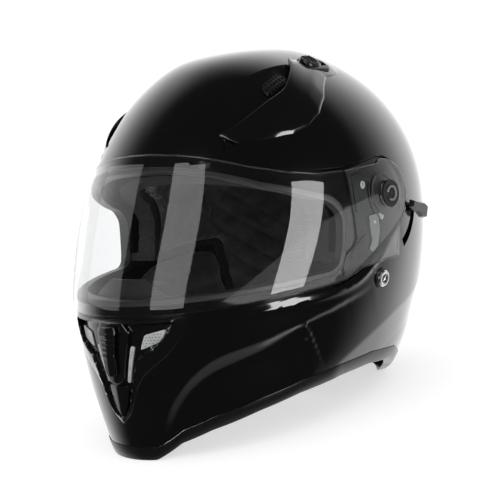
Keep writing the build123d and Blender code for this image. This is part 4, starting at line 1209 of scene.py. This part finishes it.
def stuffed(node, voxel, start, cap, seams, depth, all_round=False):
    """A padded piece in place of a CAD node: shrunk a little, blown up, then sewn along its seams."""
    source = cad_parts[node]
    mesh = source.data.copy()
    mesh.transform(source.matrix_world)
    piece = bpy.data.objects.new(f"{node}_padding", mesh)
    bpy.context.scene.collection.objects.link(piece)
    remesh = piece.modifiers.new("remesh", "REMESH")
    remesh.mode = "VOXEL"
    remesh.voxel_size = voxel
    settle(piece)
    points, normals = mesh_arrays(piece.data)
    move_points(piece.data, points - normals * start)
    swell(piece, cap)
    finer = piece.modifiers.new("finer", "SUBSURF")
    finer.levels = finer.render_levels = 1
    settle(piece)
    points, normals = mesh_arrays(piece.data)
    form = points / MM - (0, FORM_Y, 0)
    pull = depth * np.exp(-seams(form) / 2.0) * (1 if all_round else towards_head(points, normals))
    move_points(piece.data, points - normals * pull[:, None] * MM)
    piece.data.shade_smooth()
    dress(piece, FABRIC, "helmet", [node])
    return piece


def from_whole(cells):
    """How far a number is from the nearest whole one."""
    return np.abs(cells - np.round(cells))


def liner_seams(form):
    """Distance to the head lining's nearest seam: a ring with straight seams 24 mm apart inside it on top,
    diamonds round the sides.
    """
    around = np.arctan2(form[:, 0], -form[:, 1]) / (2 * math.pi) * QUILT_CELLS
    rows = form[:, 2] / QUILT_HIGH
    spacing = QUILT_PITCH * QUILT_HIGH / math.hypot(QUILT_PITCH, QUILT_HIGH)
    diamonds = np.minimum(from_whole(around + rows), from_whole(around - rows)) * spacing
    radius = np.hypot(form[:, 0], form[:, 1])
    stripes = from_whole(form[:, 0] / 24 + 0.5) * 24
    return np.minimum(np.abs(radius - CROWN_PANEL), np.where(radius < CROWN_PANEL, stripes, diamonds))


CHEEK_BORDER, CHEEK_CHANNELS = 11, (68, 88)   # the seam's distance in, and the channels' heights


def cheek_seams(form):
    """Distance to a cheek pad's nearest seam: a border and two channels across the middle."""
    edge = polygon_distance(form[:, 1:], CHEEK)
    channels = np.minimum(*(np.abs(form[:, 2] - height) for height in CHEEK_CHANNELS))
    return np.minimum(np.abs(edge - CHEEK_BORDER), np.where(edge > CHEEK_BORDER, channels, 50))


ROLL_CELLS, ROLL_PITCH = 28, 22   # the neck roll's cells in a full turn, and one cell's width


def roll_seams(form):
    """Distance to the neck roll's nearest cross seam."""
    around = np.arctan2(form[:, 0], form[:, 1]) / (2 * math.pi) * ROLL_CELLS
    return from_whole(around + 0.5) * ROLL_PITCH


def sleeve_seams(form):
    """Distance to the strap sleeve's border stitching."""
    edge = np.minimum(17 - np.abs(form[:, 0] + 38), 16 - np.abs(form[:, 1] - STRAP_MID))
    return np.abs(edge - 3) * 2


stuffed("comfort_liner", 0.004, 0.0008, 0.005, liner_seams, 1.9)
stuffed("cheek_pad_left", 0.004, 0.0012, 0.007, cheek_seams, 2.6)
stuffed("cheek_pad_right", 0.004, 0.0012, 0.007, cheek_seams, 2.6)
stuffed("neck_roll", 0.004, 0.0012, 0.006, roll_seams, 2.4)
stuffed("strap_comfort_sleeve", 0.0012, 0.0002, 0.0014, sleeve_seams, 0.5, all_round=True)


STRAP_HALF, STRAP_EDGE = 12.0, 0.4   # half the webbing's width, and half its thickness at the edge


def strap(name, path, node):
    """A flat woven strap along points (x, z), with thicker selvedges and stitched ribs along it."""
    way = resample(path, 1.0, closed=False)
    window = np.ones(9) / 9
    middle = np.stack([np.convolve(np.pad(way[:, i], 4, mode="edge"), window, "valid") for i in (0, 1)], 1)
    middle[0], middle[-1] = way[0], way[-1]
    tangent = np.gradient(middle, axis=0)
    tangent /= np.linalg.norm(tangent, axis=1, keepdims=True)
    normal = np.stack((-tangent[:, 1], tangent[:, 0]), 1)
    across = np.concatenate((np.linspace(-11.6, 11.6, 25), [STRAP_HALF]))
    thick = 0.66 + 0.14 * smooth_step((np.abs(across) - 8.8) / 1.2) - 0.35 * (np.abs(across) > 11.9)
    thick = thick + 0.05 * np.cos(across * math.pi)
    upper = list(zip(across, thick))
    section = (upper + [(STRAP_HALF, -STRAP_EDGE)] + [(a, -t) for a, t in upper[-2::-1]]
               + [(-STRAP_HALF, -STRAP_EDGE), (-STRAP_HALF, STRAP_EDGE)])
    count, points = len(section), []
    for spot, out in zip(middle, normal):
        points += [(spot[0] + out[0] * t, STRAP_MID + a, spot[1] + out[1] * t) for a, t in section]
    faces = [(i * count + j, i * count + (j + 1) % count, (i + 1) * count + (j + 1) % count,
              (i + 1) * count + j)
             for i in range(len(middle) - 1) for j in range(count)]
    faces += [tuple(range(count)), tuple(len(points) - 1 - k for k in range(count))]
    dress(mesh_object(name, to_frame(points), faces), STRAP, "helmet", [node])


strap("woven_strap_left", STRAP_PATH, "strap_left")
strap("woven_strap_right", np.vstack((STRAP_PATH[:-1], (2, 24))) * (-1, 1), "strap_right")

# ---- carried-over CAD nodes -------------------------------------------------------------------
FINISH = {
    BLACK: ("base_plate_left", "base_plate_right", "top_vent_mesh", "buckle_housing", "liner_snaps",
            "sun_visor_bracket_left", "sun_visor_bracket_right", "sun_visor_lever",
            "sun_visor_lever_rail", "sun_visor_cable"),
    STEEL: ("base_plate_screws", "release_lever_pin_left", "release_lever_pin_right", "buckle_lever",
            "buckle_pin", "sun_visor_screws"),
    GREY: ("release_lever_left", "release_lever_right", "buckle_tongue"),
    SMOKE: ("sun_visor",),
    FOAM: ("impact_liner", "chin_impact_liner"),
    SEAL: ("breath_guard",),
}
for made, nodes in FINISH.items():
    for mesh in (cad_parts[node].data for node in nodes):
        mesh.materials.clear()
        mesh.materials.append(made)
        mesh.shade_smooth()
        mesh.set_sharp_from_angle(angle=math.radians(32))

# ---- floor, light and camera ---------------------------------------------------------------------
CAMERA_AZIMUTH, CAMERA_ELEVATION, CAMERA_ROLL = (math.radians(v) for v in (41.8, 7.5, 7.6))


def make_floor():
    """A plain pale floor. It is left out of reflections, so that the lamps below it show in them."""
    work = bmesh.new()
    bmesh.ops.create_circle(work, cap_ends=True, segments=96, radius=9)
    mesh = bpy.data.meshes.new("floor")
    work.to_mesh(mesh)
    work.free()
    floor = bpy.data.objects.new("floor", mesh)
    bpy.context.scene.collection.objects.link(floor)
    made, tree, shader = material("pale_floor")
    shader.inputs["Base Color"].default_value = (0.5, 0.5, 0.5, 1)
    shader.inputs["Emission Color"].default_value = (1, 1, 1, 1)
    shader.inputs["Emission Strength"].default_value = 0.62
    shader.inputs["Roughness"].default_value = 0.9
    shader.inputs["Specular IOR Level"].default_value = 0.0
    mesh.materials.append(made)
    floor.visible_glossy = False
    floor.visible_shadow = False


def light_panel(name, corners, strength):
    """A softbox seen only in reflections: a flat glowing panel with four corners, in metres."""
    mesh = bpy.data.meshes.new(name)
    mesh.from_pydata(corners, [], [(0, 1, 2, 3)])
    made = bpy.data.materials.new(name)
    made.use_nodes = True
    tree = made.node_tree
    tree.nodes.remove(tree.nodes["Principled BSDF"])
    glow = tree.nodes.new("ShaderNodeEmission")
    glow.inputs["Strength"].default_value = strength
    tree.links.new(glow.outputs[0], tree.nodes["Material Output"].inputs["Surface"])
    mesh.materials.append(made)
    panel = bpy.data.objects.new(name, mesh)
    bpy.context.scene.collection.objects.link(panel)
    panel.visible_camera = False
    panel.visible_diffuse = False
    panel.visible_shadow = False
    panel.visible_transmission = False


def area_light(name, place, target, size, power):
    """A soft rectangular lamp that faces a target."""
    lamp = bpy.data.lights.new(name, "AREA")
    lamp.shape = "RECTANGLE"
    lamp.size, lamp.size_y = size
    lamp.energy = power
    holder = bpy.data.objects.new(name, lamp)
    holder.location = place
    holder.rotation_euler = (Vector(target) - Vector(place)).to_track_quat("-Z", "Y").to_euler()
    bpy.context.scene.collection.objects.link(holder)
    return holder


def make_world():
    """A white cyclorama behind the helmet and a dark room in front of it, seen in reflections."""
    world = bpy.data.worlds.new("studio")
    bpy.context.scene.world = world
    world.use_nodes = True
    tree = world.node_tree
    room = tree.nodes["Background"]
    room.inputs["Color"].default_value = (1, 1, 1, 1)
    place = tree.nodes.new("ShaderNodeTexCoord")
    facing = tree.nodes.new("ShaderNodeVectorMath")
    facing.operation = "DOT_PRODUCT"
    facing.inputs[1].default_value = (math.sin(CAMERA_AZIMUTH), -math.cos(CAMERA_AZIMUTH), 0.25)
    tree.links.new(place.outputs["Generated"], facing.inputs[0])
    fade = tree.nodes.new("ShaderNodeMapRange")
    fade.interpolation_type = "SMOOTHSTEP"
    for socket, value in (("From Min", -0.72), ("From Max", -0.05), ("To Min", 1.25), ("To Max", 0.03)):
        fade.inputs[socket].default_value = value
    tree.links.new(facing.outputs["Value"], fade.inputs["Value"])
    height = tree.nodes.new("ShaderNodeSeparateXYZ")
    tree.links.new(place.outputs["Generated"], height.inputs["Vector"])
    table = tree.nodes.new("ShaderNodeMapRange")
    table.interpolation_type = "SMOOTHSTEP"
    for socket, value in (("From Min", -0.95), ("From Max", -0.66), ("To Min", 0.35), ("To Max", 0.0)):
        table.inputs[socket].default_value = value
    tree.links.new(height.outputs["Z"], table.inputs["Value"])
    brighter = tree.nodes.new("ShaderNodeMath")
    brighter.operation = "MAXIMUM"
    tree.links.new(fade.outputs["Result"], brighter.inputs[0])
    tree.links.new(table.outputs["Result"], brighter.inputs[1])
    tree.links.new(brighter.outputs["Value"], room.inputs["Strength"])
    plain = tree.nodes.new("ShaderNodeBackground")
    plain.inputs["Color"].default_value = (1, 1, 1, 1)
    plain.inputs["Strength"].default_value = 1.06
    rays = tree.nodes.new("ShaderNodeLightPath")
    mix = tree.nodes.new("ShaderNodeMixShader")
    tree.links.new(rays.outputs["Is Glossy Ray"], mix.inputs["Fac"])
    tree.links.new(plain.outputs[0], mix.inputs[1])
    tree.links.new(room.outputs[0], mix.inputs[2])
    tree.links.new(mix.outputs[0], tree.nodes["World Output"].inputs["Surface"])
    world.cycles.sampling_method = "NONE"


def make_camera():
    """The camera at the photograph's viewing angle."""
    distance, aim = 0.9, Vector(to_frame((0, 0, 130)))
    right = Vector((math.cos(CAMERA_AZIMUTH), math.sin(CAMERA_AZIMUTH), 0))
    level_back = Vector((math.sin(CAMERA_AZIMUTH), -math.cos(CAMERA_AZIMUTH), 0))
    back = level_back * math.cos(CAMERA_ELEVATION) + Vector((0, 0, math.sin(CAMERA_ELEVATION)))
    up = back.cross(right)
    x_way = right * math.cos(CAMERA_ROLL) - up * math.sin(CAMERA_ROLL)
    y_way = right * math.sin(CAMERA_ROLL) + up * math.cos(CAMERA_ROLL)
    data = bpy.data.cameras.new("camera")
    data.sensor_width = 36
    data.lens = 80.9
    data.shift_x, data.shift_y = -0.0178, -0.0292
    data.clip_start = 0.01
    holder = bpy.data.objects.new("camera", data)
    turn = Matrix((x_way, y_way, back)).transposed().to_4x4()
    holder.matrix_world = Matrix.Translation(aim + back * distance) @ turn
    bpy.context.scene.collection.objects.link(holder)
    bpy.context.scene.camera = holder


make_floor()
make_world()
make_camera()
light_panel("panel_front", ((-0.332, -0.94, 1.14), (0.205, -0.94, 1.19), (0.533, -1.349, 0.266),
                            (-0.16, -1.407, 0.419)), 3.4)
light_panel("panel_side", ((1.268, -0.141, 0.754), (1.3, 0.34, 0.536), (1.317, 0.163, -0.302),
                           (1.343, -0.293, -0.213)), 9.0)
light_panel("panel_far", ((-1.241, -0.21, 0.70), (-0.839, -0.709, 0.996), (-0.803, -1.137, 0.397),
                          (-1.277, -0.478, 0.265)), 1.5)
area_light("top", (0.3, -0.5, 1.5), (0, 0, 0.2), (1.0, 1.0), 1.5).visible_glossy = False
bpy.context.scene.view_settings.view_transform = "Standard"
